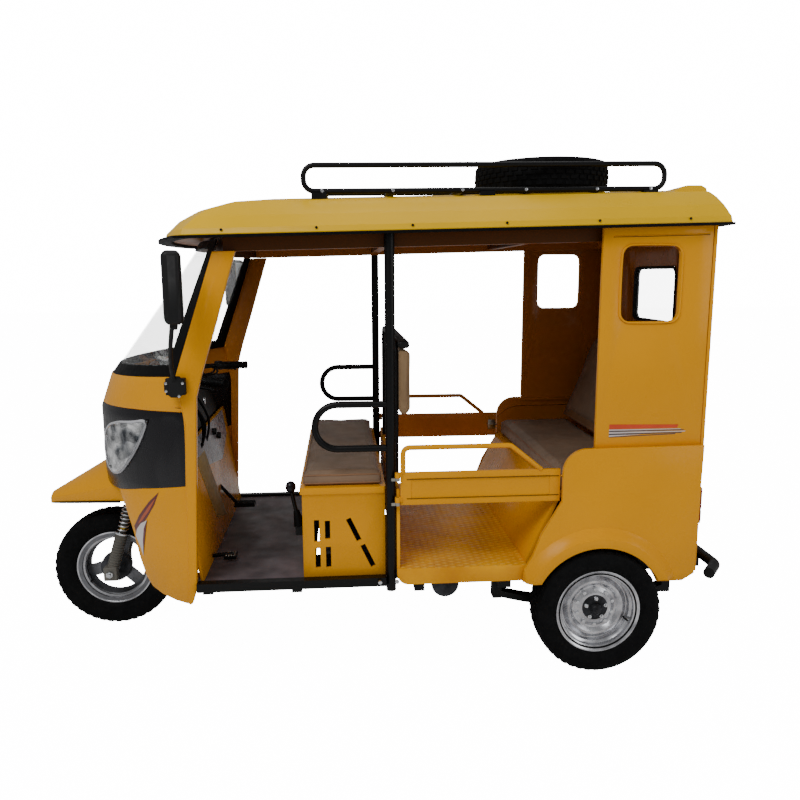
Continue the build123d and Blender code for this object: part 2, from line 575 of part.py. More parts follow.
# ------------------------------------------------------------------ cab
def make_cab():
    """Front pillars, centre pillars, roof frame, floor, sills, handrails and driver's controls."""
    slope = (SCREEN_TOP_X - SCREEN_LOW_X) / (SCREEN_TOP_Z - SCREEN_LOW_Z)
    screen_edge = []
    for z in (SCREEN_TOP_Z + 30, COWL_TOP_SIDE_Z + 2):
        screen_edge.append((SCREEN_LOW_X + slope * (z - SCREEN_LOW_Z) + SEAT_GAP, z))
    cowl_edge = [(x + SEAT_GAP, z) for z, _, x in reversed(COWL_LEVELS[:-1])]
    door_edge = [
        (-726, 328), (-708, 389), (-675, 1129), (-652, COWL_TOP_SIDE_Z), (-604, 1363),
        (-509, 1671), (-490, 1730),
    ]
    outline = screen_edge + [(-744, COWL_TOP_SIDE_Z - 4)] + cowl_edge + door_edge
    pillar = side_plate(outline, COWL_HALF - 22, COWL_HALF + PILLAR_PROUD)
    pillar = pillar - cowl_solid(SEAT_GAP) - above_beams(-BEAM_H - 2 * SEAT_GAP)
    save("front_pillars", *both_sides(pillar.solids().sort_by(SortBy.VOLUME)[-1]))

    pole_h = ROOF_Z - PILLAR_BOTTOM + 40
    pole = Pos(PILLAR_X, PILLAR_Y, PILLAR_BOTTOM) * extrude(Circle(PILLAR_R), amount=pole_h)
    save("b_pillars", *both_sides((pole - above_beams(-SEAT_GAP)).solid()))

    # handrail loop, welded to the centre pillar
    low, high, nose = RAIL_LOOP_LOW, RAIL_LOOP_HIGH, RAIL_LOOP_NOSE
    reach = PILLAR_X - PILLAR_R / 2
    radius = (high - low) / 2
    path = Line((reach, high), (nose + radius, high))
    bend = ThreePointArc((nose + radius, high), (nose, (high + low) / 2), (nose + radius, low))
    back = Line((nose + radius, low), (reach, low))
    wire = Pos(0, PILLAR_Y, 0) * (Plane.XZ * Wire([path.edge(), bend.edge(), back.edge()]))
    start = Plane(origin=wire @ 0, z_dir=wire % 0)
    loop = sweep(start * Circle(RAIL_LOOP_R), path=wire)
    cutter = Pos(PILLAR_X, PILLAR_Y, 1000) * Cylinder(PILLAR_R + SEAT_GAP, 400)
    save("handrails", *both_sides((loop - cutter).solids().sort_by(SortBy.VOLUME)[-1]))

    sill = block(-706.7, PILLAR_X - PILLAR_R - 2, BODY_HALF - 35, BODY_HALF, FLOOR_Z - 22, FLOOR_Z + 13)
    save("sill_tubes", *both_sides(sill))

    floor_half = BODY_HALF - 35 - SEAT_GAP
    floor = block(-704, PILLAR_X + PILLAR_R, -floor_half, floor_half, FLOOR_Z - SHEET, FLOOR_Z)
    engine_room = block(-262, 10, -300, 300, 300, 500)
    poles = both_sides(Pos(PILLAR_X, PILLAR_Y, FLOOR_Z) * Cylinder(PILLAR_R + SEAT_GAP, 60))
    save("front_floor", (floor - engine_room - poles).solid())

    # side beams, cross beams between them and a curved header over the windscreen
    beam_out = PILLAR_Y - PILLAR_R - SEAT_GAP
    beam_in = beam_out - BEAM_W
    frame = both_sides(block(BEAM_FRONT_X, REAR_EDGE_X - 16 - SEAT_GAP, beam_in, beam_out, 0, BEAM_H))
    half = beam_in - SEAT_GAP
    for x in (PILLAR_X, 640, 1215):
        frame.append(block(x - 20, x + 20, -half, half, 10, BEAM_H))
    header = extrude(bow_face(beam_out, BEAM_FRONT_X - SEAT_GAP, -680, 0, 30), amount=BEAM_H - 4)
    place = on_roof(Pos(0, 0, -BEAM_H - SEAT_GAP))
    save("roof_frame", *[place * beam for beam in frame + [header]])

    brake = rod((-722, BRAKE_Y, 600), (-640, BRAKE_Y, 505), ARM_R)
    brake += block(-655, -560, BRAKE_Y - 30, BRAKE_Y + 30, 498, 512)
    shift = rod((-700, SHIFT_Y, 420), (-600, SHIFT_Y, 425), ARM_R)
    shift += block(-640, -590, SHIFT_Y - 30, SHIFT_Y + 30, 412, 424)
    lever_y = 170 - BODY_HALF
    lever = rod((-318, lever_y, 560), (-350, lever_y, 720), ARM_R) + Pos(-352, lever_y, 734) * Sphere(20)
    lever_base = block(-336, SEAT_FRONT_X - SEAT_GAP, lever_y - 20, lever_y + 20, 540, 580)
    wall = toe_slab(SEAT_GAP)
    pedals = [(pedal - wall).solids().sort_by(SortBy.VOLUME)[-1] for pedal in (brake, shift)]
    save("controls", *pedals, (lever + lever_base).solid())

    # mirrors: base on the cowl, bent stalk and housing
    face = COWL_HALF + PILLAR_PROUD + SEAT_GAP
    base = block(-775, -707, face, face + 28, 1146, 1206)
    # stalk: x, y outside the body, z
    bends = ((-745, 12, 1190), (-742, 60, 1260), (-726, 120, 1335), (-706, 150, 1440))
    stalk = bent_tube([(x, BODY_HALF + y, z) for x, y, z in bends], 40, 8)
    shell = fillet(Box(62, 150, 244).edges(), 20)
    shell = Pos(-704, BODY_HALF + 150, 1533) * Rot(0, 0, -MIRROR_TOE) * shell
    mirror_solid = (base + stalk + shell) - block(-900, -600, COWL_HALF - 80, face, 1000, 1300)
    save("mirrors", *both_sides(mirror_solid.solids().sort_by(SortBy.VOLUME)[-1]))


def above_beams(height):
    """Everything above a height in the roof's own frame."""
    return on_roof(block(-1300, 1500, -2 * BODY_HALF, 2 * BODY_HALF, height, height + 500))


# ------------------------------------------------------------------ roof
def on_roof(place):
    """A place in the roof's own frame, carried into the vehicle's."""
    return Pos(0, 0, ROOF_Z) * Rot(0, -ROOF_TILT, 0) * place


def on_rack(place):
    """A place in the rack's own frame, carried into the vehicle's."""
    middle = (RACK_FRONT_X + RACK_REAR_X) / 2
    return Pos(middle, 0, RACK_LOW_Z) * Rot(0, -RACK_TILT, 0) * Pos(-middle, 0, -RACK_LOW_Z) * place


def roof_face(height, half, nose, corner, rear):
    """Plan outline of the roof at one level."""
    front = bow_arc(half, corner, nose)
    edges = [
        front,
        Line(front @ 1, (rear, -half)),
        ThreePointArc((rear, -half), (rear + REAR_BULGE, 0), (rear, half)),
        Line((rear, half), front @ 0),
    ]
    return Pos(0, 0, height) * make_face(edges)


def roof_outside(grow=0):
    """The roof as a full solid, in its own frame."""
    levels = []
    for height, half, nose, corner, rear in ROOF_LEVELS:
        lifted = height + (grow if height else 0)
        levels.append(roof_face(lifted, half + grow, nose - grow, corner - grow, rear + grow))
    return loft(levels, ruled=True)


def make_roof():
    """Roof shell, its rubber edge, the rack on it."""
    outer = roof_outside() + side_plate(ROOF_TAIL, -TAIL_HALF, TAIL_HALF)
    wall = ROOF_WALL
    inside = [
        roof_face(h - (0 if i == 0 else wall), half - wall, nose + wall, corner + wall, rear - wall)
        for i, (h, half, nose, corner, rear) in enumerate(ROOF_LEVELS)
    ]
    inside[0] = Pos(0, 0, -1) * inside[0]
    inner = loft(inside, ruled=True)
    place = on_roof(Pos(0, 0, 0))
    # flange that bears on the roof frame, the pillars and the rear wall
    flange = extrude(roof_face(0, *ROOF_LEVELS[0][1:]), amount=4)
    flange -= extrude(roof_face(0, BODY_HALF - 70, -640, -540, 1225), amount=4)
    save("roof_shell", (place * (outer - inner + flange)).solid())

    lip = extrude(roof_face(-LIP, BODY_HALF + 46, -878, -714, 1308), amount=LIP - SEAT_GAP)
    lip_hole = extrude(roof_face(-LIP - 1, BODY_HALF + 18, -830, -668, 1278), amount=20)
    save("roof_edge_seal", (place * (lip - lip_hole)).solid())

    # rack: a hoop each side, flat slats between them, feet on the roof
    def hoop(y):
        low, high = RACK_LOW_Z, RACK_LOW_Z + RACK_H
        middle = Pos((RACK_FRONT_X + RACK_REAR_X) / 2, (low + high) / 2)
        outline = RectangleRounded(RACK_REAR_X - RACK_FRONT_X, RACK_H, 40).wire()
        loop = Pos(0, y, 0) * (Plane.XZ * middle * outline)
        start = Plane(origin=loop @ 0, z_dir=loop % 0)
        return sweep(start * Circle(RACK_TUBE_R), path=loop)

    roof_room = on_rack(Pos(0, 0, 0)).inverse() * (place * roof_outside(SEAT_GAP))
    solids = []
    for y in (-RACK_Y, RACK_Y):
        feet = [
            block(x - 28, x + 28, y - 14, y + 14, RACK_LOW_Z - 60, RACK_LOW_Z - 5)
            for x in (RACK_FRONT_X + 55, (RACK_FRONT_X + RACK_REAR_X) / 2, RACK_REAR_X - 55)
        ]
        solids.append(((hoop(y) + feet) - roof_room).solids().sort_by(SortBy.VOLUME)[-1])
    half = RACK_Y - RACK_TUBE_R - SEAT_GAP
    for x in (-200, 60, 320, 560, 832, 1040):
        solids.append(block(x - 18, x + 18, -half, half, RACK_LOW_Z + 1, RACK_LOW_Z + 7 - SEAT_GAP))
    save("roof_rack", *[on_rack(Pos(0, 0, 0)) * solid for solid in solids])


# ------------------------------------------------------------------ driver's seat
def make_driver_seat():
    """Seat box over the engine, cushion, backrest and its frame."""
    x0, x1, half = SEAT_FRONT_X, 19, BODY_HALF - 50
    low, top = FLOOR_Z + SEAT_GAP, SEAT_BOX_TOP
    room = block(x0 + SHEET, x1 - SHEET, -half + SHEET, half - SHEET, low - 1, top - SHEET)
    shell = block(x0, x1, -half, half, low, top) - room
    lid = fillet(block(x0 - 8, x1 + 2, -half - 8, half + 8, top, top + SEAT_LID).edges().filter_by(Axis.Z), 8)
    slots = []
    # vertical slots: x, low z, high z
    for x, z0, z1 in ((-248, 547, 635), (-206, 557, 631), (-245, 440, 520), (-204, 440, 525)):
        slots.append(block(x - 10, x + 10, -BODY_HALF, BODY_HALF, z0, z1))
    for x, z in ((-104, 592), (-49, 483)):
        slots.append(Pos(x, 0, z) * Rot(0, -25, 0) * Box(20, 2 * BODY_HALF, 100))
    hollow = shell - slots
    save("seat_box", (hollow + lid).solid())
    cushion_low = top + SEAT_LID + SEAT_GAP
    cushion = block(x0 - 12, x1 + 4, -half - 4, half + 4, cushion_low, cushion_low + 58)
    save("driver_cushion", fillet(cushion.edges(), 16))
    tube_x, tube_r = 74, 11
    pad_x = tube_x + tube_r + SEAT_GAP
    pad_half, frame_half = BODY_HALF - 145, BODY_HALF - 200
    pad = block(pad_x, pad_x + 46, -pad_half, pad_half, 999, 1306)
    save("driver_backrest_pad", fillet(pad.edges(), 12))
    foot_z = BULKHEAD_TOP + SEAT_GAP
    corners = ((-frame_half, foot_z), (-frame_half, 1312), (frame_half, 1312), (frame_half, foot_z))
    frame = bent_tube([(tube_x, y, z) for y, z in corners], 60, tube_r)
    save("driver_backrest_frame", frame.solid())
    mount_half = RAIL_Y - RAIL_W / 2 - SEAT_GAP
    engine = block(ENGINE_X0, ENGINE_X1, -ENGINE_HALF, ENGINE_HALF, ENGINE_Z0, ENGINE_Z1)
    mount_low, mount_top = RAIL_TOP - RAIL_H + 5, RAIL_TOP - 10
    mount = block(ENGINE_X0 + 90, ENGINE_X1 - 88, -mount_half, mount_half, mount_low, mount_top)
    silencer_end = BODY_HALF - SHEET - SEAT_GAP
    silencer_z = TUB_FLOOR_Z - SHEET - SILENCER_R - 6
    silencer_ends = [(SILENCER_X, y, silencer_z) for y in (-silencer_end, SILENCER_L - silencer_end)]
    silencer = rod(*silencer_ends, SILENCER_R)
    save("engine_and_silencer", (engine + mount).solid(), silencer)


# ------------------------------------------------------------------ passenger compartment
def make_rear():
    """Tub, bench, side panels, quarter panels, rear wall, wheel housings and tail lamps."""
    front, back = PILLAR_X + PILLAR_R + 3, 575
    tub = block(front, back, -BODY_HALF, BODY_HALF, TUB_FLOOR_Z - SHEET, TUB_FLOOR_Z)
    bulkhead = block(front, front + SHEET, -BODY_HALF + 14, BODY_HALF - 14, TUB_FLOOR_Z - 1, BULKHEAD_TOP)
    sill = block(front, 564, BODY_HALF - SHEET, BODY_HALF, 378, TUB_FLOOR_Z)
    sill = fillet(sill.edges().filter_by(Axis.Y).group_by(Axis.X)[0].sort_by(Axis.Z)[0], 45)
    save("passenger_tub", (tub + bulkhead + both_sides(sill)).solid())

    bench_end = REAR_EDGE_X - 18
    bench = side_plate([
        (back + SEAT_GAP, TUB_FLOOR_Z - SHEET), (back + SHEET, TUB_FLOOR_Z - SHEET), (706, BENCH_Z - SHEET),
        (bench_end, BENCH_Z - SHEET), (bench_end, BENCH_Z), (695, BENCH_Z),
        (back + SEAT_GAP, TUB_FLOOR_Z + 20),
    ], -BODY_HALF + 24, BODY_HALF - 24)
    housing_in = REAR_TRACK / 2 - REAR_TYRE_W / 2 - 24
    housings = both_sides(arch_piece(HOUSING_R + SEAT_GAP, 0, housing_in - SEAT_GAP, BODY_HALF + 100))
    save("bench_base", (bench - housings).solids().sort_by(SortBy.VOLUME)[-1])
    seat_half = BODY_HALF - 45
    cushion = block(690, 1100, -seat_half, seat_half, BENCH_Z + SEAT_GAP, BENCH_Z + 86)
    save("bench_cushion", fillet(cushion.edges(), 16))
    rest = REAR_EDGE_X - 10
    slope = [(rest - 208, 815), (rest - 43, 1250), (rest, 1250), (rest, 1180), (rest - 136, 815)]
    backrest = side_plate(slope, -seat_half, seat_half)
    save("bench_backrest", backrest.solid())

    # lower side panel, with the wheel arch cut out and a flare round it
    outline = [
        (556, 378), (560, 430), (593, 485), (626, 573), (703, 702), (703, 909), (REAR_EDGE_X - 8, 915),
        (REAR_EDGE_X - 18, 391), (1202, 362), (1084, 362), (1040, 376), (641, 376),
    ]
    inside, outside = BODY_HALF + 2, REAR_BODY_HALF
    panel = side_plate(outline, inside, outside)
    shoulder = panel.edges().filter_by(Axis.Y).filter_by_position(Axis.X, 700, 706).sort_by(Axis.Z)[-1]
    panel = fillet(shoulder, 95)
    arch = Pos(REAR_AXLE_X, outside - 1, REAR_TYRE_R) * Rot(-90, 0, 0)
    cone = Pos(0, 0, FLARE_OUT / 2) * Cone(FLARE_R, FLARE_FACE_R, FLARE_OUT)
    flare = (arch * cone) & block(562, REAR_EDGE_X - 24, 0, 2 * BODY_HALF, 380, 700)
    opening = arch * Pos(0, 0, -100) * extrude(Circle(ARCH_R), amount=200)
    shelf = block(826, REAR_EDGE_X - 16 - SEAT_GAP, BODY_HALF - 18, outside, 896, 907)
    side_solid = (panel + flare - opening) + shelf
    save("rear_side_panels", *both_sides(side_solid.solids().sort_by(SortBy.VOLUME)[-1]))

    housing_out = inside - SEAT_GAP
    shell = arch_piece(HOUSING_R, HOUSING_R - SHEET, housing_in, housing_out)
    shell = shell + arch_piece(HOUSING_R, 0, housing_in, housing_in + 8)
    save("wheel_housings", *both_sides(shell.solid()))

    quarter = block(830, REAR_EDGE_X - 16 - SEAT_GAP, BODY_HALF - 20, BODY_HALF, 907 + SEAT_GAP, 1760)
    window = Plane.XZ * (Pos(1019, 1534) * RectangleRounded(222, 278, 35))
    quarter = quarter - extrude(Pos(0, BODY_HALF - 100, 0) * window, amount=200, dir=(0, 1, 0))
    save("rear_quarter_panels", *both_sides((quarter - above_beams(-SEAT_GAP)).solid()))

    wall = rear_wall_slab(16) - rear_window_bar(REAR_WINDOW_HALF, REAR_WINDOW_LOW, REAR_WINDOW_HIGH, 35)
    save("rear_wall", (wall - above_beams(-SEAT_GAP)).solid())

    lamp = Pos(REAR_EDGE_X + 32, BODY_HALF - 120, 640) * Box(24, 90, 150)
    lamp = lamp - rear_wall_slab(60, SEAT_GAP)
    save("tail_lamps", *both_sides(lamp.solids().sort_by(SortBy.VOLUME)[-1]))


def arch_piece(outer, inner, y0, y1):
    """Half ring over a rear wheel."""
    place = Pos(REAR_AXLE_X, y0, 262) * Rot(-90, 0, 0)
    ring = extrude(Circle(outer), amount=y1 - y0)
    if inner:
        ring = ring - extrude(Circle(inner), amount=y1 - y0)
    keep = block(400, 1300, 0, 2 * BODY_HALF, 396, 700)
    return (place * ring) & keep


# ------------------------------------------------------------------ gates
def make_gates():
    """Low passenger gates: a panel under a bent rail, hinged beside the centre pillars."""
    x0 = GATE_HINGE_X + 12
    outer = BODY_HALF
    panel = block(x0, GATE_END_X, outer - SHEET, outer, GATE_BOTTOM_Z, GATE_PANEL_TOP_Z)
    recess = block(x0 + 40, GATE_END_X - 40, outer - 3, outer + 1, GATE_BOTTOM_Z + 24, GATE_PANEL_TOP_Z - 24)
    y = outer - SHEET / 2
    rail_front = x0 + GATE_RAIL_R
    path = [
        (rail_front, y, GATE_PANEL_TOP_Z - 2), (rail_front, y, GATE_RAIL_Z), (501, y, GATE_RAIL_Z),
        (622, y, GATE_PANEL_TOP_Z - 2),
    ]
    rail = bent_tube(path, 25, GATE_RAIL_R)
    gate = (panel - recess) + rail
    for z in HINGE_LEVELS:
        arm = block(GATE_HINGE_X, x0 + 4, outer - 4, GATE_HINGE_Y, z, z + 20)
        knuckle = Pos(GATE_HINGE_X, GATE_HINGE_Y, z) * extrude(Circle(KNUCKLE_R), amount=20)
        bore = Pos(GATE_HINGE_X, GATE_HINGE_Y, z - 1) * extrude(Circle(HINGE_PIN_R + RUN_GAP), amount=22)
        gate = gate + arm + knuckle - bore
    gate = gate.solid()
    right, left = both_sides(gate)
    save("gate_right", right)
    save("gate_left", left)

    # hinge pins on the pillars
    hinges = []
    for z in HINGE_LEVELS:
        foot = block(PILLAR_X, GATE_HINGE_X, PILLAR_Y + 13, GATE_HINGE_Y + 4, z - 12, z - SEAT_GAP * 2)
        foot += Pos(GATE_HINGE_X, GATE_HINGE_Y, z - 12) * extrude(Circle(KNUCKLE_R), amount=12 - SEAT_GAP * 2)
        pin = Pos(GATE_HINGE_X, GATE_HINGE_Y, z - 2) * extrude(Circle(HINGE_PIN_R), amount=22)
        pole_room = Pos(PILLAR_X, PILLAR_Y, z - 20) * extrude(Circle(PILLAR_R + SEAT_GAP), amount=60)
        hinges += both_sides((foot + pin - pole_room).solids().sort_by(SortBy.VOLUME)[-1])
    save("gate_hinges", *hinges)


def main():
    os.makedirs("parts", exist_ok=True)
    make_wheels()
    make_chassis()
    make_steering()
    make_cowl()
    make_windows()
    make_cab()
    make_roof()
    make_driver_seat()
    make_rear()
    make_gates()


main()
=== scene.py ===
"""Passenger auto rickshaw: finishes, upholstery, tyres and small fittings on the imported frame."""

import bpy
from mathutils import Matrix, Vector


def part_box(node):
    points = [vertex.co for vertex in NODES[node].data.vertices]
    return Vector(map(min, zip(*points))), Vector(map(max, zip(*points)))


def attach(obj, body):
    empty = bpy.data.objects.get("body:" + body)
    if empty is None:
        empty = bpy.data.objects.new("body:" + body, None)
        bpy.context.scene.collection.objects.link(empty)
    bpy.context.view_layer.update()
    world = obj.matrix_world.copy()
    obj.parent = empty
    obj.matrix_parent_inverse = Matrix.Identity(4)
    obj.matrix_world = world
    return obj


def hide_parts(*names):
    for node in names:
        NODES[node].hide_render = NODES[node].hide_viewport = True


bl_info = {
    "name": "Auto rickshaw",
    "version": (1, 0, 0),
    "blender": (4, 5, 0),
    "location": "3D View > Sidebar > Rickshaw",
    "description": "Dresses a three-wheeled passenger rickshaw: paint, seats, tyres, lamps and fittings",
    "category": "Object",
}

from math import atan2, cos, pi, radians, sin

import bmesh
import bpy
from mathutils import Matrix, Vector

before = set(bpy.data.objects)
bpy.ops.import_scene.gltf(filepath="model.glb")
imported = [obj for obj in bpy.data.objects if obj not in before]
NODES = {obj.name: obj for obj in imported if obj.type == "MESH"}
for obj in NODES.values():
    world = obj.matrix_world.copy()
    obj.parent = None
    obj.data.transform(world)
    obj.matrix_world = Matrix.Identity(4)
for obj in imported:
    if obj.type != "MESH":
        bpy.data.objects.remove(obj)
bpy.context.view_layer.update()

FRONT_AXLE = (-1.18, 0.0, 0.2675)
REAR_AXLE_X = 0.856
REAR_AXLE_Z = 0.254
REAR_WHEEL_Y = sum(corner[1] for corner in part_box("rear_tyre_right")) / 2
STEERING = Vector((sin(radians(17)), 0, cos(radians(17))))
SIDES = ((-1, "left"), (1, "right"))
# points closer together than this are one point
WELD = 0.00002
# radius and width of the tyres
FRONT_TYRE = (0.2675, 0.114)
REAR_TYRE = (0.254, 0.145)
SPARE_TYRE = (0.272, 0.122)
FORK_LEG_Y = 0.092
# ends of the fork's springs, up the steering axis from the front axle
SPRING_FOOT, SPRING_TOP = 0.196, 0.342
# radius of the circles of wheel nuts and of dimples on the rear discs
NUT_CIRCLE, DIMPLE_CIRCLE = 0.041, 0.0745
# middle of the handlebar
BAR_X, BAR_Z = -0.9154, 1.147
ROOF_TILT = radians(1.4)
ROOF_FOOT_Z = 1.727
RACK_TILT = radians(0.7)
# middle of the rack's rail
RACK_X, RACK_Z = 0.4145, 1.884
# panels farther back than this are the rear wall
REAR_WALL_X = 1.15
# rear wall: x of its outer edges, how far it bows out behind them, and half its width
REAR_EDGE_X, REAR_BOW, REAR_HALF = 1.2685, 0.0445, 0.6
# sloping panel under the dash: x and height of its top, and how far it comes back for each metre down
TOE_X, TOE_Z, TOE_SLOPE = -0.758, 0.9, 0.1393
# just outside the rear side panels' flat face
PANEL_FACE = -0.6005
GATE_FACE = 0.6012
# left of every panel that carries a stripe
BESIDE = -0.7


# ---------------- colours and nodes
def linear(code):
    """sRGB hex colour as linear RGBA."""
    values = [int(code[i:i + 2], 16) / 255 for i in (0, 2, 4)]
    return [v / 12.92 if v <= 0.04045 else ((v + 0.055) / 1.055) ** 2.4 for v in values] + [1.0]


def add(tree, kind, settings, inputs):
    """Add a node. An input given as (node, output) is linked, any other is set."""
    node = tree.nodes.new(kind)
    for name, value in settings.items():
        setattr(node, name, value)
    for name, value in inputs.items():
        if isinstance(value, tuple) and isinstance(value[0], bpy.types.Node):
            tree.links.new(value[0].outputs[value[1]], node.inputs[name])
        else:
            node.inputs[name].default_value = value
    return node


def start(name, colour, **sockets):
    """New material with its shader's plain sockets set: its tree, shader and coordinates."""
    material = bpy.data.materials.new(name)
    material.use_nodes = True
    material.diffuse_color = colour
    tree = material.node_tree
    shader = tree.nodes["Principled BSDF"]
    shader.inputs["Base Color"].default_value = colour
    for socket, value in sockets.items():
        shader.inputs[socket.replace("_", " ")].default_value = value
    place = add(tree, "ShaderNodeTexCoord", {}, {})
    return tree, shader, place


def shaded(colour, share):
    """A colour made darker."""
    return [c * share for c in colour[:3]] + [1]


def noise(tree, place, scale, detail):
    """Soft noise in the object's own coordinates."""
    inputs = {"Vector": (place, "Object"), "Scale": scale, "Detail": detail}
    return add(tree, "ShaderNodeTexNoise", {}, inputs)


def cells(tree, place, scale, randomness=1.0, feature="F1"):
    """Cells in the object's own coordinates."""
    inputs = {"Vector": (place, "Object"), "Scale": scale, "Randomness": randomness}
    return add(tree, "ShaderNodeTexVoronoi", {"feature": feature}, inputs)


def spread(tree, value, begin, end, low=0.0, high=1.0):
    """A value from begin to end, spread over low to high."""
    inputs = {"Value": value, "From Min": begin, "From Max": end, "To Min": low, "To Max": high}
    return add(tree, "ShaderNodeMapRange", {}, inputs)


def worked_out(tree, operation, *terms):
    """A sum of two or three terms, each a number or (node, output)."""
    return add(tree, "ShaderNodeMath", {"operation": operation}, dict(enumerate(terms)))


def mixed(tree, share, first, second):
    """Two colours mixed by a share."""
    return add(tree, "ShaderNodeMix", {"data_type": "RGBA"}, {0: share, 6: first, 7: second})


def mottle(tree, shader, place, scale, dark, light, detail=4.0):
    """Base colour that wanders between two colours in soft patches."""
    patches = spread(tree, (noise(tree, place, scale, detail), 0), 0.35, 0.65)
    mix = mixed(tree, (patches, 0), dark, light)
    tree.links.new(mix.outputs[2], shader.inputs["Base Color"])
    return mix


def relief(tree, shader, height, strength, distance):
    """Bump from a height output."""
    bump = add(tree, "ShaderNodeBump", {}, {"Height": height, "Strength": strength, "Distance": distance})
    tree.links.new(bump.outputs[0], shader.inputs["Normal"])


def gloss_spread(tree, shader, place, scale, low, high):
    """Roughness that varies over the surface."""
    polish = spread(tree, (noise(tree, place, scale, 6.0), 0), 0.3, 0.7, low, high)
    tree.links.new(polish.outputs[0], shader.inputs["Roughness"])


def facing_inwards(tree, place):
    """1 where a body panel faces the cabin, from its place and its normal, and 0 outside: where painted shade
    goes; also the place.
    """
    surface = add(tree, "ShaderNodeNewGeometry", {}, {})
    way = add(tree, "ShaderNodeSeparateXYZ", {}, {0: (surface, "Normal")})
    spot = add(tree, "ShaderNodeSeparateXYZ", {}, {0: (place, "Object")})
    side = worked_out(tree, "SIGN", (spot, 1))
    across = worked_out(tree, "MULTIPLY", (side, 0), (way, 1))
    faces = worked_out(tree, "MINIMUM", (across, 0), (way, 2))
    # the rear wall faces forward inside, the cowl's front faces back
    behind = worked_out(tree, "GREATER_THAN", (spot, 0), REAR_WALL_X)
    back_wall = worked_out(tree, "MULTIPLY", (behind, 0), (way, 0))
    faces = worked_out(tree, "MINIMUM", (faces, 0), (back_wall, 0))
    return spread(tree, (faces, 0), -0.35, -0.6), spot


def enamel(name, code, low_gloss, high_gloss):
    """Stoved enamel on pressed sheet steel: glossy outside, road dust low down, painted shade in brown on the
    faces inside, darker higher up.
    """
    colour = linear(code)
    tree, shader, place = start(name, colour, Coat_Weight=0.05, Coat_Roughness=0.12, Specular_IOR_Level=0.15)
    outside = mottle(tree, shader, place, 2.2, shaded(colour, 0.92), colour)
    inside, spot = facing_inwards(tree, place)
    # painted shade: faces towards the cabin turn brown, darker higher up under the roof
    height = spread(tree, (spot, 2), 0.72, 1.35)
    coat = mixed(tree, (height, 0), linear("D68830"), linear("A56220"))
    shaded_inside = mixed(tree, (inside, 0), (outside, 2), (coat, 2))
    low = spread(tree, (spot, 2), 0.55, 0.26, 0.0, 0.4)
    dust = worked_out(tree, "MULTIPLY", (low, 0), (noise(tree, place, 14.0, 8.0), 0))
    dusty = mixed(tree, (dust, 0), (shaded_inside, 2), linear("8A6020"))
    tree.links.new(dusty.outputs[2], shader.inputs["Base Color"])
    gloss_spread(tree, shader, place, 9.0, low_gloss, high_gloss)
    # the skin's ripple is 2 mm across, drawn 8 mm so that it shows
    relief(tree, shader, (noise(tree, place, 125.0, 2.0), 0), 0.04, 0.001)


def powder_coat(name, code):
    """Powder coat on steel: fine pebble, satin."""
    colour = linear(code)
    tree, shader, place = start(name, colour, Coat_Weight=0.04, Coat_Roughness=0.25, Specular_IOR_Level=0.2)
    mottle(tree, shader, place, 6.0, shaded(colour, 0.6), colour)
    gloss_spread(tree, shader, place, 30.0, 0.34, 0.5)
    relief(tree, shader, (noise(tree, place, 600.0, 2.0), 0), 0.12, 0.0006)


def moulded_plastic(name, code, low, high, grain):
    """Injection-moulded ABS: spark-eroded grain, even colour; also the flat colours of painted shade and
    painted highlight.
    """
    colour = linear(code)
    tree, shader, place = start(name, colour, Specular_IOR_Level=0.3)
    mottle(tree, shader, place, 4.0, shaded(colour, 0.8), colour)
    gloss_spread(tree, shader, place, 40.0, low, high)
    relief(tree, shader, (cells(tree, place, 420.0), 0), grain, 0.0006)


def tyre_rubber():
    """Vulcanised tread rubber: near black, dull, greyed by dust."""
    tree, shader, place = start("tyre rubber", linear("070708"), Specular_IOR_Level=0.12)
    mottle(tree, shader, place, 12.0, linear("040405"), linear("0A0A0B"), 8.0)
    gloss_spread(tree, shader, place, 60.0, 0.6, 0.85)
    relief(tree, shader, (noise(tree, place, 350.0, 4.0), 0), 0.25, 0.0008)


def seal_rubber():
    """Extruded EPDM seal: black, matt, faintly streaked."""
    tree, shader, place = start("seal rubber", linear("060607"), Specular_IOR_Level=0.12)
    mottle(tree, shader, place, 20.0, linear("040405"), linear("080809"))
    gloss_spread(tree, shader, place, 50.0, 0.45, 0.65)


def wheel_silver():
    """Aluminium-flake wheel paint on pressed steel, dulled by brake dust."""
    colour = linear("D6D7DB")
    tree, shader, place = start("wheel silver", colour, Metallic=0.85, Coat_Weight=0.2, Coat_Roughness=0.15)
    mottle(tree, shader, place, 18.0, linear("9C9CA0"), colour, 8.0)
    gloss_spread(tree, shader, place, 25.0, 0.16, 0.34)
    relief(tree, shader, (noise(tree, place, 500.0, 2.0), 0), 0.08, 0.0005)


def bright_metal(name, code, low, high, metallic):
    """Plated or bare metal with a slightly uneven polish."""
    colour = linear(code)
    tree, shader, place = start(name, colour, Metallic=metallic)
    mottle(tree, shader, place, 30.0, shaded(colour, 0.75), colour)
    gloss_spread(tree, shader, place, 45.0, low, high)


def faceted_chrome():
    """Lamp bowl: aluminised plastic pressed into facets about 60 mm across, with painted reflections in dark
    and white patches.
    """
    tree, shader, place = start("lamp chrome", linear("D5D8DC"), Metallic=1.0)
    # dark and white patches: painted reflections
    mottle(tree, shader, place, 15.0, linear("50555C"), linear("FFFFFF"), 1.0)
    gloss_spread(tree, shader, place, 45.0, 0.05, 0.14)
    relief(tree, shader, (cells(tree, place, 16.0, 0.6), 0), 0.6, 0.02)


def cast_metal():
    """Sand-cast aluminium and iron: dark, pitted, oily."""
    tree, shader, place = start("cast metal", linear("35363A"), Metallic=0.8)
    mottle(tree, shader, place, 14.0, linear("1D1D1F"), linear("4A4B50"), 8.0)
    gloss_spread(tree, shader, place, 30.0, 0.4, 0.7)
    relief(tree, shader, (noise(tree, place, 220.0, 6.0), 0), 0.5, 0.001)


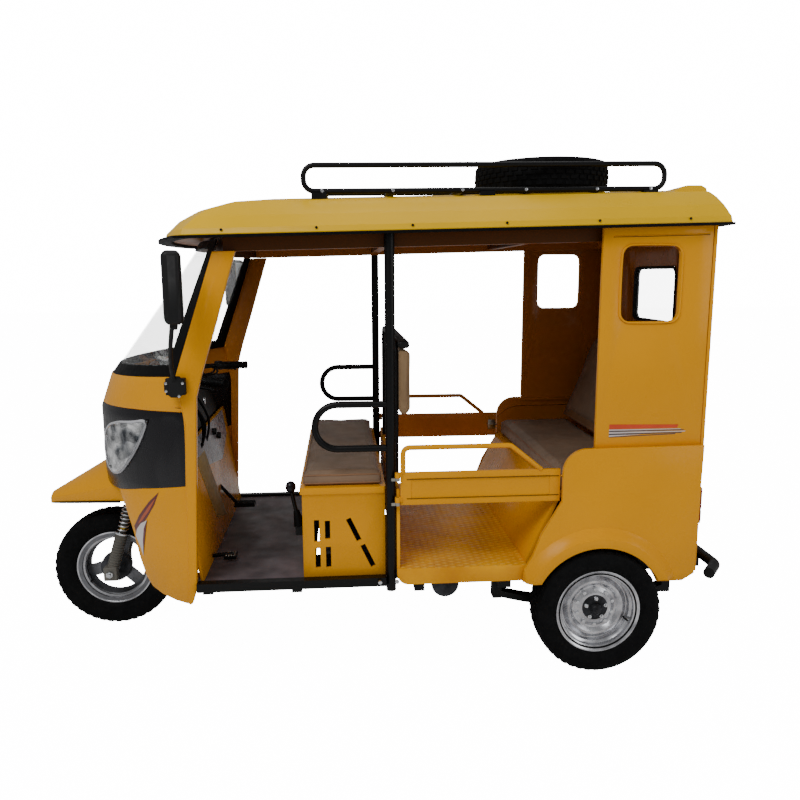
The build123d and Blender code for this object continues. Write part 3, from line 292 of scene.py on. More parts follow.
def seat_cloth(name, code, shade):
    """Grained PVC upholstery: leather-like cells about 2 mm across, drawn 3 mm, with a dull sheen."""
    colour = linear(code)
    tree, shader, place = start(name, colour, Sheen_Weight=0.05, Sheen_Roughness=0.4, Specular_IOR_Level=0.3)
    mottle(tree, shader, place, 5.0, linear(shade), colour, 6.0)
    gloss_spread(tree, shader, place, 16.0, 0.42, 0.62)
    grain = spread(tree, (cells(tree, place, 330.0, feature="DISTANCE_TO_EDGE"), 0), 0.0, 0.25)
    both = worked_out(tree, "MULTIPLY_ADD", (noise(tree, place, 22.0, 5.0), 0), 2.5, (grain, 0))
    relief(tree, shader, (both, 0), 0.35, 0.0009)


def floor_mat():
    """Calendered PVC mat: dark brown-grey, ribbed, scuffed by shoes."""
    tree, shader, place = start("floor mat", linear("665C61"), IOR=1.5)
    mottle(tree, shader, place, 7.0, linear("3E373B"), linear("665C61"), 8.0)
    gloss_spread(tree, shader, place, 12.0, 0.38, 0.65)
    # ribs 12 mm apart
    ribs = add(
        tree, "ShaderNodeTexWave", {"wave_type": "BANDS", "bands_direction": "Y"},
        {"Vector": (place, "Object"), "Scale": 26.0},
    )
    relief(tree, shader, (ribs, 1), 0.3, 0.001)


def tread_plate():
    """Painted tread plate: steel floor with raised bars, two ways in turn, 40 mm apart."""
    colour = linear("F0A800")
    gloss = {"Coat_Weight": 0.05, "Coat_Roughness": 0.15, "Specular_IOR_Level": 0.2}
    tree, shader, place = start("tread plate", colour, **gloss)
    ground = mottle(tree, shader, place, 5.0, linear("D08800"), colour, 8.0)
    gloss_spread(tree, shader, place, 20.0, 0.25, 0.5)
    bars = []
    for turn in (45, -45):
        turned_place = add(
            tree, "ShaderNodeMapping", {},
            {"Vector": (place, "Object"), "Rotation": (0, 0, radians(turn)), "Scale": (25.0, 50.0, 25.0)},
        )
        cell = add(
            tree, "ShaderNodeTexVoronoi", {"voronoi_dimensions": "2D", "distance": "CHEBYCHEV"},
            {"Vector": (turned_place, 0), "Scale": 1.0, "Randomness": 0.0},
        )
        bars.append((spread(tree, (cell, 0), 0.3, 0.22), 0))
    either = worked_out(tree, "MAXIMUM", *bars)
    # only on the faces that look up
    facing = add(tree, "ShaderNodeSeparateXYZ", {}, {0: (place, "Normal")})
    upward = worked_out(tree, "MULTIPLY", (either, 0), (facing, 2))
    raised = worked_out(tree, "MAXIMUM", (upward, 0), 0.0)
    relief(tree, shader, (raised, 0), 0.8, 0.004)
    # raised bars paler on top: worn by shoes, and painted highlight
    wear_and_highlight = worked_out(tree, "MULTIPLY", (raised, 0), 0.5)
    rubbed_and_lit = mixed(tree, (wear_and_highlight, 0), (ground, 2), linear("FFC850"))
    tree.links.new(rubbed_and_lit.outputs[2], shader.inputs["Base Color"])


def clear_glass(name, code, tint_alpha, rough):
    """Clear moulded or toughened glass."""
    colour = linear(code)
    tree, shader, place = start(name, colour, Transmission_Weight=1.0, Alpha=tint_alpha, IOR=1.45)
    gloss_spread(tree, shader, place, 3.0, rough, rough + 0.03)


def film(name, code):
    """Printed vinyl film: flat colour under a thin satin skin."""
    colour = linear(code)
    tree, shader, place = start(name, colour, Coat_Weight=0.2, Coat_Roughness=0.2)
    mottle(tree, shader, place, 15.0, shaded(colour, 0.85), colour)
    gloss_spread(tree, shader, place, 40.0, 0.3, 0.42)


def seen_by_camera(tree, elsewhere, seen):
    """One strength for what the camera sees, another for the light that it gives."""
    ray = add(tree, "ShaderNodeLightPath", {}, {})
    return spread(tree, (ray, "Is Camera Ray"), 0.0, 1.0, elsewhere, seen)


def studio_floor():
    """Seamless paper: pale, matt, lit up for the camera so that its far edge is lost in white."""
    tree, shader, place = start("studio paper", linear("F4F4F4"), Roughness=0.9)
    mottle(tree, shader, place, 1.5, linear("F1F1F1"), linear("F6F6F6"))
    glow = seen_by_camera(tree, 0.0, 15.0)
    tree.links.new(glow.outputs[0], shader.inputs["Emission Strength"])
    shader.inputs["Emission Color"].default_value = (1.0, 1.0, 1.0, 1)


# ---------------- modelling helpers
def pick(*pieces):
    """Only these pieces selected, in object mode."""
    if bpy.context.mode != "OBJECT":
        bpy.ops.object.mode_set(mode="OBJECT")
    bpy.ops.object.select_all(action="DESELECT")
    for piece in pieces:
        piece.select_set(True)
    bpy.context.view_layer.objects.active = pieces[0]


def paint(piece, finish):
    """One finish all over."""
    piece.data.materials.clear()
    piece.data.materials.append(bpy.data.materials[finish])


def settle(piece, name, finish, body="body", angle=35):
    """Put a piece's place into its mesh, name it, finish it and let it ride on its body."""
    pick(piece)
    bpy.ops.object.convert(target="MESH")
    piece = bpy.context.view_layer.objects.active
    bpy.ops.object.transform_apply(location=True, rotation=True, scale=True)
    bpy.ops.object.shade_smooth_by_angle(angle=radians(angle))
    piece.name = name
    piece.data.name = name
    paint(piece, finish)
    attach(piece, body)
    return piece


def joined(pieces):
    """Several pieces as one object."""
    pick(*pieces)
    if len(pieces) > 1:
        bpy.ops.object.join()
    return bpy.context.view_layer.objects.active


def edited(piece, *actions):
    """Run operators on the whole of a piece's mesh, in edit mode."""
    pick(piece)
    bpy.ops.object.mode_set(mode="EDIT")
    for action in actions:
        bpy.ops.mesh.select_all(action="SELECT")
        action()
    bpy.ops.object.mode_set(mode="OBJECT")


def linked(name, data):
    """New piece in the scene from a mesh or a curve."""
    piece = bpy.data.objects.new(name, data)
    bpy.context.collection.objects.link(piece)
    return piece


def placed(name, points, edges, faces):
    """New piece from points, edges and faces."""
    mesh = bpy.data.meshes.new(name)
    mesh.from_pydata(points, edges, faces)
    return linked(name, mesh)


def outwards():
    """Turn the selected faces' normals outwards."""
    bpy.ops.mesh.normals_make_consistent(inside=False)


def modified(piece, kind, **settings):
    """Add a modifier and apply it."""
    pick(piece)
    bpy.ops.object.modifier_add(type=kind)
    modifier = piece.modifiers[-1]
    for name, value in settings.items():
        setattr(modifier, name, value)
    bpy.ops.object.modifier_apply(modifier=modifier.name)


def block(low, high, bevel=0.002, segments=2):
    """Box between two corners with rounded edges."""
    bpy.ops.object.select_all(action="DESELECT")
    middle = [(a + b) / 2 for a, b in zip(low, high)]
    size = [b - a for a, b in zip(low, high)]
    bpy.ops.mesh.primitive_cube_add(size=1, location=middle, scale=size)
    piece = bpy.context.object
    bpy.ops.object.transform_apply(location=False, rotation=False, scale=True)
    if bevel:
        modified(piece, "BEVEL", width=bevel, segments=segments, limit_method="ANGLE")
    return piece


def row(low, high, step, count):
    """Equal thin ribs in a row, as one piece, from the corners of the first and the step to the next."""
    ribs = []
    for i in range(count):
        begin = [a + i * move for a, move in zip(low, step)]
        end = [b + i * move for b, move in zip(high, step)]
        ribs.append(block(begin, end, 0.001, 1))
    return joined(ribs)


def drum(begin, end, radius, sides=32, bevel=0.001, end_radius=None):
    """Round or many-sided bar between two points, with rounded ends."""
    a, b = Vector(begin), Vector(end)
    bpy.ops.object.select_all(action="DESELECT")
    bpy.ops.mesh.primitive_cone_add(
        vertices=sides, radius1=radius, radius2=radius if end_radius is None else end_radius,
        depth=(b - a).length, location=(a + b) / 2, rotation=(b - a).to_track_quat("Z", "Y").to_euler(),
    )
    piece = bpy.context.object
    if bevel:
        modified(piece, "BEVEL", width=bevel, segments=2, limit_method="ANGLE", angle_limit=radians(50))
    return piece


def ball(middle, radius, scale=(1, 1, 1)):
    """Rounded knob."""
    bpy.ops.object.select_all(action="DESELECT")
    bpy.ops.mesh.primitive_uv_sphere_add(
        segments=24, ring_count=14, radius=radius, location=middle, scale=scale)
    return bpy.context.object


def bent_bar(points, radius, closed=False):
    """Round bar on a smooth curve through the neighbourhood of the points."""
    curve = bpy.data.curves.new("bar", "CURVE")
    curve.dimensions = "3D"
    curve.bevel_depth = radius
    curve.bevel_resolution = 4
    curve.resolution_u = 8
    curve.use_fill_caps = True
    spline = curve.splines.new("NURBS")
    spline.points.add(len(points) - 1)
    for target, point in zip(spline.points, points):
        target.co = (*point, 1)
    spline.order_u = 3
    spline.use_endpoint_u = not closed
    spline.use_cyclic_u = closed
    pick(linked("bar", curve))
    bpy.ops.object.convert(target="MESH")
    return bpy.context.view_layer.objects.active


def turned(profile, centre, steps=96):
    """Closed ring turned about an axis along Y: profile of (y, radius) round the centre."""
    x, y, z = centre
    points = [(x, y + along, z + radius) for along, radius in profile]
    edges = [(i, (i + 1) % len(points)) for i in range(len(points))]

    def spin():
        bpy.ops.mesh.spin(steps=steps, angle=2 * pi, center=centre, axis=(0, 1, 0))

    def weld():
        bpy.ops.mesh.remove_doubles(threshold=WELD)

    piece = placed("turned", points, edges, [])
    edited(piece, spin, weld, outwards)
    return piece


def about_axle(centre, angle):
    """Turn about an axis along Y through a point."""
    return Matrix.Translation(centre) @ Matrix.Rotation(angle, 4, "Y") @ Matrix.Translation(-Vector(centre))


def around(piece, count, centre):
    """The piece and its copies, evenly spaced about an axis along Y, as a list."""
    pieces = [piece]
    for i in range(1, count):
        copy = linked(piece.name, piece.data.copy())
        copy.matrix_world = about_axle(centre, 2 * pi * i / count) @ piece.matrix_world
        pieces.append(copy)
    return pieces


def mirrored(piece, name, body):
    """The same piece on the other side of the vehicle, with its own mesh."""
    copy = linked(name, piece.data.copy())
    copy.matrix_world = Matrix.Scale(-1, 4, (0, 1, 0))
    pick(copy)
    bpy.ops.object.transform_apply(location=True, rotation=True, scale=True)
    edited(copy, bpy.ops.mesh.flip_normals)
    copy.data.name = name
    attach(copy, body)


def both_sides(piece, name, finish, angle=35):
    """Settle a piece on the left of the body, and its mirror image on the right."""
    piece = settle(piece, name + "_left", finish, "body", angle)
    mirrored(piece, name + "_right", "body")


def softened(node, finish, width, body="body", angle=25, segments=2):
    """A CAD piece with its edges rolled over; it stands for the node."""
    mesh = NODES[node].data.copy()
    piece = linked(node + "_skin", mesh)
    shell = bmesh.new()
    shell.from_mesh(mesh)
    bmesh.ops.remove_doubles(shell, verts=shell.verts, dist=WELD)
    bmesh.ops.dissolve_limit(shell, angle_limit=radians(0.6), verts=shell.verts, edges=shell.edges)
    # a wide face with a notch or a hole would otherwise be filled across it
    wide = [face for face in shell.faces if len(face.verts) > 4]
    bmesh.ops.triangulate(shell, faces=wide, ngon_method="BEAUTY")
    shell.to_mesh(mesh)
    shell.free()
    pick(piece)
    modified(
        piece, "BEVEL", width=width, segments=segments, limit_method="ANGLE", angle_limit=radians(angle),
        use_clamp_overlap=True,
    )
    piece = settle(piece, node + "_skin", finish, body, 40)
    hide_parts(node)
    return piece


def laid(points, cover, lift):
    """The points moved onto a piece's surface and lifted off it."""
    line = []
    for point in points:
        _, spot, out, _ = cover.closest_point_on_mesh(Vector(point))
        line.append(spot + out * lift)
    return line


def bead(points, radius, name, finish, body="body", closed=False, mirror=False):
    """Rolled bead or wire along a line."""
    wire = bent_bar(points, radius, closed)
    if mirror:
        both_sides(wire, name, finish, 60)
    else:
        settle(wire, name, finish, body, 60)


# ---------------- settings
class RickshawPaint(bpy.types.PropertyGroup):
    """Colours that a user would change."""

    body: bpy.props.StringProperty(name="Body", description="Body enamel, sRGB hex", default="E69C00")
    roof: bpy.props.StringProperty(name="Roof", description="Roof enamel, sRGB hex", default="E4B400")
    seat: bpy.props.StringProperty(name="Seats", description="Seat covers, sRGB hex", default="8A725C")
    pad: bpy.props.StringProperty(name="Backrest", description="Driver's pad, sRGB hex", default="A88B66")
    tube: bpy.props.StringProperty(name="Tubes", description="Powder coat, sRGB hex", default="060607")


class RickshawSizes(bpy.types.PropertyGroup):
    """Sizes of the dressing."""

    roof_roll: bpy.props.FloatProperty(
        name="Roof edge", description="Width of the roof's rolled edges", default=0.009, unit="LENGTH")
    panel_roll: bpy.props.FloatProperty(
        name="Panel edge", description="Width of the panels' rolled edges", default=0.003, unit="LENGTH")
    piping: bpy.props.FloatProperty(
        name="Piping", description="Radius of the cushions' piping", default=0.0035, unit="LENGTH")
    puff: bpy.props.FloatProperty(
        name="Puff", description="How far the stuffing may push a cover", default=0.016, unit="LENGTH")
    voxel: bpy.props.FloatProperty(
        name="Cover mesh", description="Mesh size of the cushions' covers", default=0.008, unit="LENGTH")
    tread_depth: bpy.props.FloatProperty(
        name="Tread depth", description="Depth of the tyres' grooves", default=0.0045, unit="LENGTH")
    lugs: bpy.props.IntProperty(name="Lugs", description="Lugs round one row of a tyre's tread", default=44)


def sizes():
    """The scene's sizes."""
    return bpy.context.scene.rickshaw_sizes


# ---------------- operators: finishes and panels
class RICKSHAW_OT_finishes(bpy.types.Operator):
    """Make every finish, and give each CAD piece that stays its own."""

    bl_idname = "rickshaw.finishes"
    bl_label = "Finishes"

    def execute(self, context):
        colours = context.scene.rickshaw_paint
        enamel("body enamel", colours.body, 0.2, 0.34)
        enamel("roof enamel", colours.roof, 0.26, 0.42)
        powder_coat("black powder coat", colours.tube)
        powder_coat("chassis paint", "09090A")
        powder_coat("fork paint", "6E6B64")
        # roof frame: dark brown as painted shade under the roof's overhang
        enamel("frame shade enamel", "4E2A06", 0.3, 0.5)
        # name, colour, roughness from and to, grain
        for plastic in (
            ("gloss black moulding", "0E0C12", 0.2, 0.34, 0.02),
            ("grained black moulding", "0C0C0D", 0.45, 0.65, 0.2),
            # dark brown lines: painted shade along pressed lines and folds
            ("seam sealer", "4A2E06", 0.5, 0.7, 0.1),
            # pale strip: painted highlight on the sloping panel
            ("pale highlight", "B49A62", 0.5, 0.7, 0.1),
            ("grey lining", "A09EA6", 0.2, 0.35, 0.02),
            ("grey moulding", "5C5D5E", 0.4, 0.6, 0.15),
            ("pale bezel", "C2C2C6", 0.2, 0.35, 0.02),
            ("red lens", "8E0F0B", 0.08, 0.16, 0.02),
            ("amber lens", "D86A08", 0.08, 0.16, 0.02),
            ("plain plate", "E8E6DE", 0.3, 0.42, 0.02),
        ):
            moulded_plastic(*plastic)
        # name, colour, roughness from and to, share of metal
        for metal in (
            ("chrome", "D8DADD", 0.04, 0.12, 1.0),
            ("zinc steel", "A9A79C", 0.25, 0.42, 1.0),
            ("yellow zinc", "B79A4B", 0.25, 0.45, 1.0),
            ("mirror silver", "E8ECEF", 0.01, 0.03, 1.0),
            ("cast wheel", "77787C", 0.35, 0.55, 0.7),
        ):
            bright_metal(*metal)
        for make in (
            tyre_rubber, seal_rubber, wheel_silver, faceted_chrome, cast_metal, floor_mat, tread_plate,
            studio_floor,
        ):
            make()
        # name, colour, darker colour of its patches
        for cloth in (
            ("seat vinyl", colours.seat, "75604D"),
            ("pad vinyl", colours.pad, "8E7353"),
            ("band vinyl", "906C4E", "755540"),
            ("roll vinyl", "86603C", "6E4C2E"),
        ):
            seat_cloth(*cloth)
        clear_glass("screen glass", "DDE6E4", 0.32, 0.01)
        clear_glass("lens glass", "F4F7F8", 0.22, 0.01)
        for name, code in (
            ("orange", "D84408"), ("rust", "B0480E"), ("slate", "3F3845"), ("maroon", "5C0E0A"),
            ("silver", "D2CAC6"),
        ):
            film(name + " film", code)
        keeps = {
            "black powder coat": (
                "b_pillars", "driver_backrest_frame", "handrails", "rear_bumper", "roof_rack", "sill_tubes",
            ),
            "chassis paint": (
                "chassis_frame", "controls", "leaf_springs", "rear_axle", "steering_head", "wheel_housings",
            ),
            "grained black moulding": ("dash", "handlebar"),
            "seal rubber": ("roof_edge_seal", "window_seals"),
            "cast metal": ("engine_and_silencer",),
            "fork paint": ("fork",),
            "floor mat": ("front_floor",),
            "cast wheel": ("front_rim",),
            "zinc steel": ("gate_hinges",),
            "lens glass": ("headlights",),
            # roof frame in dark brown painted shade
            "frame shade enamel": ("roof_frame",),
            "wheel silver": ("spare_rim",),
            "red lens": ("tail_lamps",),
            "screen glass": ("window_glass",),
        }
        for finish, nodes in keeps.items():
            for node in nodes:
                paint(NODES[node], finish)
                pick(NODES[node])
                bpy.ops.object.shade_smooth_by_angle(angle=radians(30))
        return {"FINISHED"}


class RICKSHAW_OT_panels(bpy.types.Operator):
    """Body and roof panels with rolled edges."""

    bl_idname = "rickshaw.panels"
    bl_label = "Panels"

    def execute(self, context):
        roll = sizes().panel_roll
        softened("roof_shell", "roof enamel", sizes().roof_roll, angle=8, segments=3)
        for node in (
            "cowl_upper", "leg_shields", "toe_panel", "front_pillars", "seat_box", "bench_base", "rear_wall",
            "rear_side_panels", "rear_quarter_panels", "beak",
        ):
            softened(node, "body enamel", roll)
        softened("passenger_tub", "tread plate", roll)
        softened("cowl_black_panel", "gloss black moulding", 0.002)
        softened("mirrors", "grained black moulding", 0.0015)
        for node in ("gate_left", "gate_right"):
            softened(node, "body enamel", 0.002, node)
        return {"FINISHED"}


# ---------------- operators: wheels
def carcass(radius, width, centre):
    """Tyre body: bead, rim protector, bulged sides and a tread base below the lugs."""
    base = radius - sizes().tread_depth
    # share of the width out from the middle, radius
    half = [
        (0.0, 0.1525), (0.34, 0.1525), (0.345, 0.17), (0.385, 0.175), (0.43, 0.186), (0.475, 0.2),
        (0.495, 0.5 * (0.2 + base)), (0.483, base - 0.018), (0.455, base - 0.007), (0.38, base - 0.002),
        (0.2, base - 0.001), (0.0, base),
    ]
    right = [(share * width, r) for share, r in half]
    left = [(-y, r) for y, r in reversed(right[1:-1])]
    return turned(right + left, centre, 120)


def tread(radius, width, centre, count):
    """Rows of lugs: narrow blocks in the middle, wider ones over the shoulders."""
    depth = sizes().tread_depth
    pitch = 2 * pi * radius / count
    lugs = []
    # share of the width from and to, top below the crown, shift round the tyre and length in lugs' pitches
    rows = (
        (-0.055, 0.055, 0.0, 0.0, 0.72),
        (0.085, 0.215, 0.0012, 0.5, 0.66), (-0.215, -0.085, 0.0012, 0.5, 0.66),
        (0.245, 0.385, 0.0035, 0.0, 0.62), (-0.385, -0.245, 0.0035, 0.0, 0.62),
    )
    for low, high, drop, shift, length in rows:
        top = radius - drop
        foot = top - depth - 0.004
        half = pitch * length / 2
        x, y, z = centre
        lug = block((x - half, y + low * width, z + foot), (x + half, y + high * width, z + top), 0.0016, 1)
        if shift:
            lug.matrix_world = about_axle(centre, 2 * pi * shift / count) @ lug.matrix_world
        lugs += around(lug, count, centre)
    return lugs


def dressed_tyre(name, node, size, centre, body, tilt=None):
    """Carcass and lugs in one piece, in place of the plain tyre."""
    radius, width = size
    piece = joined([carcass(radius, width, centre)] + tread(radius, width, centre, sizes().lugs))
    if tilt is not None:
        piece.matrix_world = tilt @ piece.matrix_world
    piece = settle(piece, name, "tyre rubber", body, 28)
    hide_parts(node)


def spare_place():
    """From a wheel at the origin with its axis along Y to the spare on the rack."""
    low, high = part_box("spare_tyre")
    middle = [(a + b) / 2 for a, b in zip(low, high)]
    flat = Matrix.Rotation(radians(90), 4, "X")
    return Matrix.Translation(middle) @ Matrix.Rotation(-RACK_TILT, 4, "Y") @ flat


def rear_centre(side):
    """Middle of a rear wheel."""
    return REAR_AXLE_X, side * REAR_WHEEL_Y, REAR_AXLE_Z


class RICKSHAW_OT_tyres(bpy.types.Operator):
    """Four tyres with their tread."""

    bl_idname = "rickshaw.tyres"
    bl_label = "Tyres"

    def execute(self, context):
        dressed_tyre("tyre_front", "front_tyre", FRONT_TYRE, FRONT_AXLE, "front_wheel")
        for side, word in SIDES:
            body = "rear_wheel_" + word
            dressed_tyre("tyre_rear_" + word, "rear_tyre_" + word, REAR_TYRE, rear_centre(side), body)
        dressed_tyre("tyre_spare", "spare_tyre", SPARE_TYRE, (0, 0, 0), "body", spare_place())
        return {"FINISHED"}


# outlines of the wheels' turned parts: distance outboard of the wheel's middle, radius
HUB = (
    (0.0, 0.0), (0.036, 0.0), (0.04, 0.004), (0.04, 0.016), (0.034, 0.022), (0.022, 0.025), (0.02, 0.044),
    (0.014, 0.052), (0.008, 0.053), (-0.004, 0.053), (-0.004, 0.0),
)
FRONT_LIP = (
    (0.044, 0.169), (0.0442, 0.1635), (0.0415, 0.16), (0.0405, 0.156), (0.0375, 0.1545), (0.037, 0.152),
    (0.037, 0.169),
)
FRONT_STEP = (
    (0.03, 0.147), (0.033, 0.1455), (0.03, 0.1375), (0.024, 0.1345), (0.02, 0.134), (0.02, 0.147),
)
FRONT_DRUM = (
    (-0.03, 0.012), (-0.036, 0.02), (-0.04, 0.06), (-0.038, 0.066), (-0.012, 0.068), (-0.004, 0.06),
    (-0.004, 0.012),
)


def rear_rim(side):
    """Outline of the pressed wheel: rolled flange, stepped well and bulged disc, as (y, radius)."""
    # (outboard, radius), front of the rim from flange to hub
    front = [
        (0.0535, 0.169), (0.054, 0.165), (0.05, 0.16), (0.047, 0.153), (0.044, 0.1475), (0.028, 0.1465),
        (0.023, 0.141), (0.021, 0.1375), (0.01, 0.1365), (0.004, 0.134), (0.0035, 0.13), (0.011, 0.122),
        (0.0165, 0.113), (0.016, 0.104), (0.01, 0.096), (0.004, 0.09), (0.003, 0.082), (0.009, 0.07),
        (0.013, 0.062), (0.013, 0.05),
    ]
    back = [(y - 0.004, r - 0.0005) for y, r in reversed(front[9:])]
    rear = [
        (-0.001, 0.14), (-0.02, 0.142), (-0.044, 0.1475), (-0.05, 0.16), (-0.054, 0.165),
        (-0.0535, 0.169), (-0.0485, 0.169), (-0.048, 0.1535), (-0.044, 0.152), (0.044, 0.152),
        (0.048, 0.1535), (0.0485, 0.169),
    ]
    return [(side * y, r) for y, r in front + back + rear]


class RICKSHAW_OT_wheel_fittings(bpy.types.Operator):
    """Rear rims, hubs, wheel nuts and dimples, valves, and the front wheel's rings and drum."""

    bl_idname = "rickshaw.wheel_fittings"
    bl_label = "Wheel fittings"

    def execute(self, context):
        for side, word in SIDES:
            centre = rear_centre(side)
            body = "rear_wheel_" + word
            rim = settle(turned(rear_rim(side), centre, 128), "rim_rear_" + word, "wheel silver", body, 32)
            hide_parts("rear_rim_" + word)
            x, y, z = centre
            hub = turned([(side * out, r) for out, r in HUB], centre, 48)
            settle(hub, "hub_rear_" + word, "cast metal", body)
            face = y + side * 0.013
            high = z + NUT_CIRCLE
            nut = drum((x, face - side * 0.002, high), (x, face + side * 0.014, high), 0.0085, 6, 0.0012)
            stud = drum((x, face, high), (x, face + side * 0.021, high), 0.0045, 12, 0.0006)
            settle(joined(around(joined([nut, stud]), 5, centre)), "wheel_nuts_" + word, "chrome", body)
            high = z + DIMPLE_CIRCLE
            boss = drum((x, y + side * 0.008, high), (x, y + side * 0.0135, high), 0.0075, 20, 0.001)
            settle(joined(around(boss, 10, centre)), "disc_dimples_" + word, "chrome", body)
            inner = (x + 0.118, y + side * 0.012, z - 0.045)
            outer = (x + 0.124, y + side * 0.046, z - 0.047)
            stem = drum(inner, outer, 0.0042, 12)
            settle(stem, "valve_rear_" + word, "grained black moulding", body)
        x, y, z = FRONT_AXLE
        for side, word in SIDES:
            for name, outline in (("front_lip_", FRONT_LIP), ("front_step_", FRONT_STEP)):
                ring = turned([(side * out, r) for out, r in outline], FRONT_AXLE, 128)
                settle(ring, name + word, "wheel silver", "front_wheel", 30)
        settle(turned(FRONT_DRUM, FRONT_AXLE, 64), "front_drum", "cast metal", "front_wheel")
        stem = drum((x - 0.112, -0.012, z - 0.066), (x - 0.116, -0.034, z - 0.069), 0.0042, 12)
        settle(stem, "valve_front", "grained black moulding", "front_wheel")
        return {"FINISHED"}


# ---------------- operators: steering
def up_fork(s, y):
    """Point s up the steering axis from the front axle, and y to the side."""
    return Vector(FRONT_AXLE) + s * STEERING + Vector((0, y, 0))


def helix(a, b, radius, wire, turns):
    """Coil spring round the line from a to b."""
    a, b = Vector(a), Vector(b)
    along = (b - a).normalized()
    across = along.orthogonal().normalized()
    third = along.cross(across)
    steps = turns * 10
    points = []
    for i in range(steps + 1):
        angle = 2 * pi * turns * i / steps
        points.append(a + (b - a) * i / steps + radius * (cos(angle) * across + sin(angle) * third))
    return bent_bar(points, wire)


class RICKSHAW_OT_fork(bpy.types.Operator):
    """Springs, gaiters, seats and nuts on the fork legs."""

    bl_idname = "rickshaw.fork"
    bl_label = "Fork fittings"

    def execute(self, context):
        for side, word in SIDES:
            y = side * FORK_LEG_Y
            rings = []
            for i in range(12):
                s = 0.028 + i * 0.0125
                rings.append(drum(up_fork(s, y), up_fork(s + 0.008, y), 0.0268, 32, 0.002))
            settle(joined(rings), "fork_gaiter_" + word, "fork paint", "steering")
            low_seat = drum(up_fork(0.186, y), up_fork(SPRING_FOOT, y), 0.033, 32, 0.003)
            high_seat = drum(up_fork(SPRING_TOP, y), up_fork(0.356, y), 0.03, 32, 0.003)
            settle(joined([low_seat, high_seat]), "spring_seats_" + word, "chrome", "steering")
            spring = helix(up_fork(SPRING_FOOT, y), up_fork(SPRING_TOP, y), 0.0225, 0.0042, 8)
            settle(spring, "fork_spring_" + word, "chrome", "steering", 60)
            collar = drum(up_fork(0.204, y), up_fork(0.222, y), 0.0195, 6, 0.001)
            settle(collar, "fork_collar_" + word, "yellow zinc", "steering")
            x, _, z = FRONT_AXLE
            low, high = sorted((y - side * 0.012, y + side * 0.03))
            lug = block((x - 0.03, low, z - 0.034), (x + 0.03, high, z + 0.03), 0.006, 3)
            settle(lug, "axle_lug_" + word, "fork paint", "steering")
            nut = drum((x, y + side * 0.028, z), (x, y + side * 0.0425, z), 0.0165, 6, 0.0015)
            end = drum((x, y + side * 0.03, z), (x, y + side * 0.052, z), 0.0088, 20, 0.001)
            settle(joined([nut, end]), "axle_nut_" + word, "chrome", "steering")
        return {"FINISHED"}


class RICKSHAW_OT_handlebar(bpy.types.Operator):
    """Ribbed grips, levers, switches and the gauge pod."""

    bl_idname = "rickshaw.handlebar"
    bl_label = "Handlebar fittings"

    def execute(self, context):
        for side, word in SIDES:
            inner = Vector((BAR_X + 0.202, side * 0.271, BAR_Z))
            outer = Vector((BAR_X + 0.308, side * 0.327, BAR_Z - 0.006))
            along = (outer - inner).normalized()
            ribs = []
            for i in range(14):
                at = inner + along * (0.012 + i * 0.0072)
                ribs.append(drum(at, at + along * 0.004, 0.0182, 24, 0.0012))
            ribs.append(drum(outer - along * 0.004, outer + along * 0.004, 0.0195, 24, 0.002))
            settle(joined(ribs), "grip_" + word, "seal rubber", "steering")
            switch = drum(inner - along * 0.034, inner + along * 0.002, 0.0215, 28, 0.004)
            at = inner - along * 0.018
            knob = drum(at, at + Vector((0.026, 0, 0.006)), 0.006, 16, 0.002)
            settle(joined([switch, knob]), "switch_" + word, "grained black moulding", "steering")
            pivot = inner - along * 0.03 + Vector((-0.014, side * 0.003, -0.004))
            steps = ((0, 0, 0), (0.004, 0.026, -0.01), (0.036, 0.052, -0.018), (0.092, 0.078, -0.022))
            line = [pivot + Vector((x, side * y, z)) for x, y, z in steps]
            lever = bent_bar(line, 0.0055)
            tip = ball(line[-1], 0.0085)
            low, high = pivot - Vector((0.008, 0.014, 0.009)), pivot + Vector((0.022, 0.014, 0.009))
            perch = block(low, high, 0.004, 2)
            settle(joined([lever, tip, perch]), "lever_" + word, "black powder coat", "steering")
            hoses = []
            for bow in (0.0, 0.024):
                hose = [
                    pivot, (-0.725 + bow, side * (0.185 - bow), BAR_Z - 0.018),
                    (-0.775 + bow, side * (0.11 - bow), BAR_Z - 0.028), (BAR_X, side * 0.03, BAR_Z + 0.004),
                ]
                hoses.append(bent_bar(hose, 0.0045))
            settle(joined(hoses), "hoses_" + word, "seal rubber", "steering")
        pod = block((BAR_X - 0.056, -0.07, BAR_Z + 0.03), (BAR_X + 0.046, 0.07, BAR_Z + 0.058), 0.012, 4)
        settle(pod, "gauge_pod", "grained black moulding", "steering")
        rim = drum((BAR_X + 0.002, 0, BAR_Z + 0.055), (BAR_X + 0.004, 0, BAR_Z + 0.063), 0.04, 48, 0.002)
        settle(rim, "gauge_rim", "chrome", "steering")
        face = drum((BAR_X + 0.002, 0, BAR_Z + 0.06), (BAR_X + 0.004, 0, BAR_Z + 0.0645), 0.034, 48, 0.0008)
        settle(face, "gauge_face", "plain plate", "steering")
        low, high = (BAR_X - 0.022, -0.0012, BAR_Z + 0.0642), (BAR_X + 0.006, 0.0012, BAR_Z + 0.0658)
        needle = block(low, high, 0.0004, 1)
        settle(needle, "gauge_needle", "orange film", "steering")
        return {"FINISHED"}


# ---------------- operators: lamps, mirrors, trim
# the cowl's surface: height, x of its nose and x of its sides at COWL_HALF
COWL = ((0.295, -1.13, -0.738), (0.77, -1.18, -0.727), (1.03, -1.18, -0.717), (1.24, -1.1, -0.75))
COWL_HALF = 0.58
# the cowl's plan is the front of an oval, this many times as wide
COWL_WIDEN = 1.5
LAMP_OUTLINE = (
    (-0.884, 1.03), (-0.955, 1.01), (-1.03, 1.0), (-1.095, 0.972), (-1.128, 0.92), (-1.135, 0.85),
    (-1.118, 0.795), (-1.078, 0.776), (-1.04, 0.79), (-1.005, 0.825), (-0.948, 0.9), (-0.908, 0.972),
)
LAMP_CENTRE = Vector((-0.985, -0.393, 0.93))
LAMP_OUT = Vector((-0.689, -0.725, 0.0)).normalized()


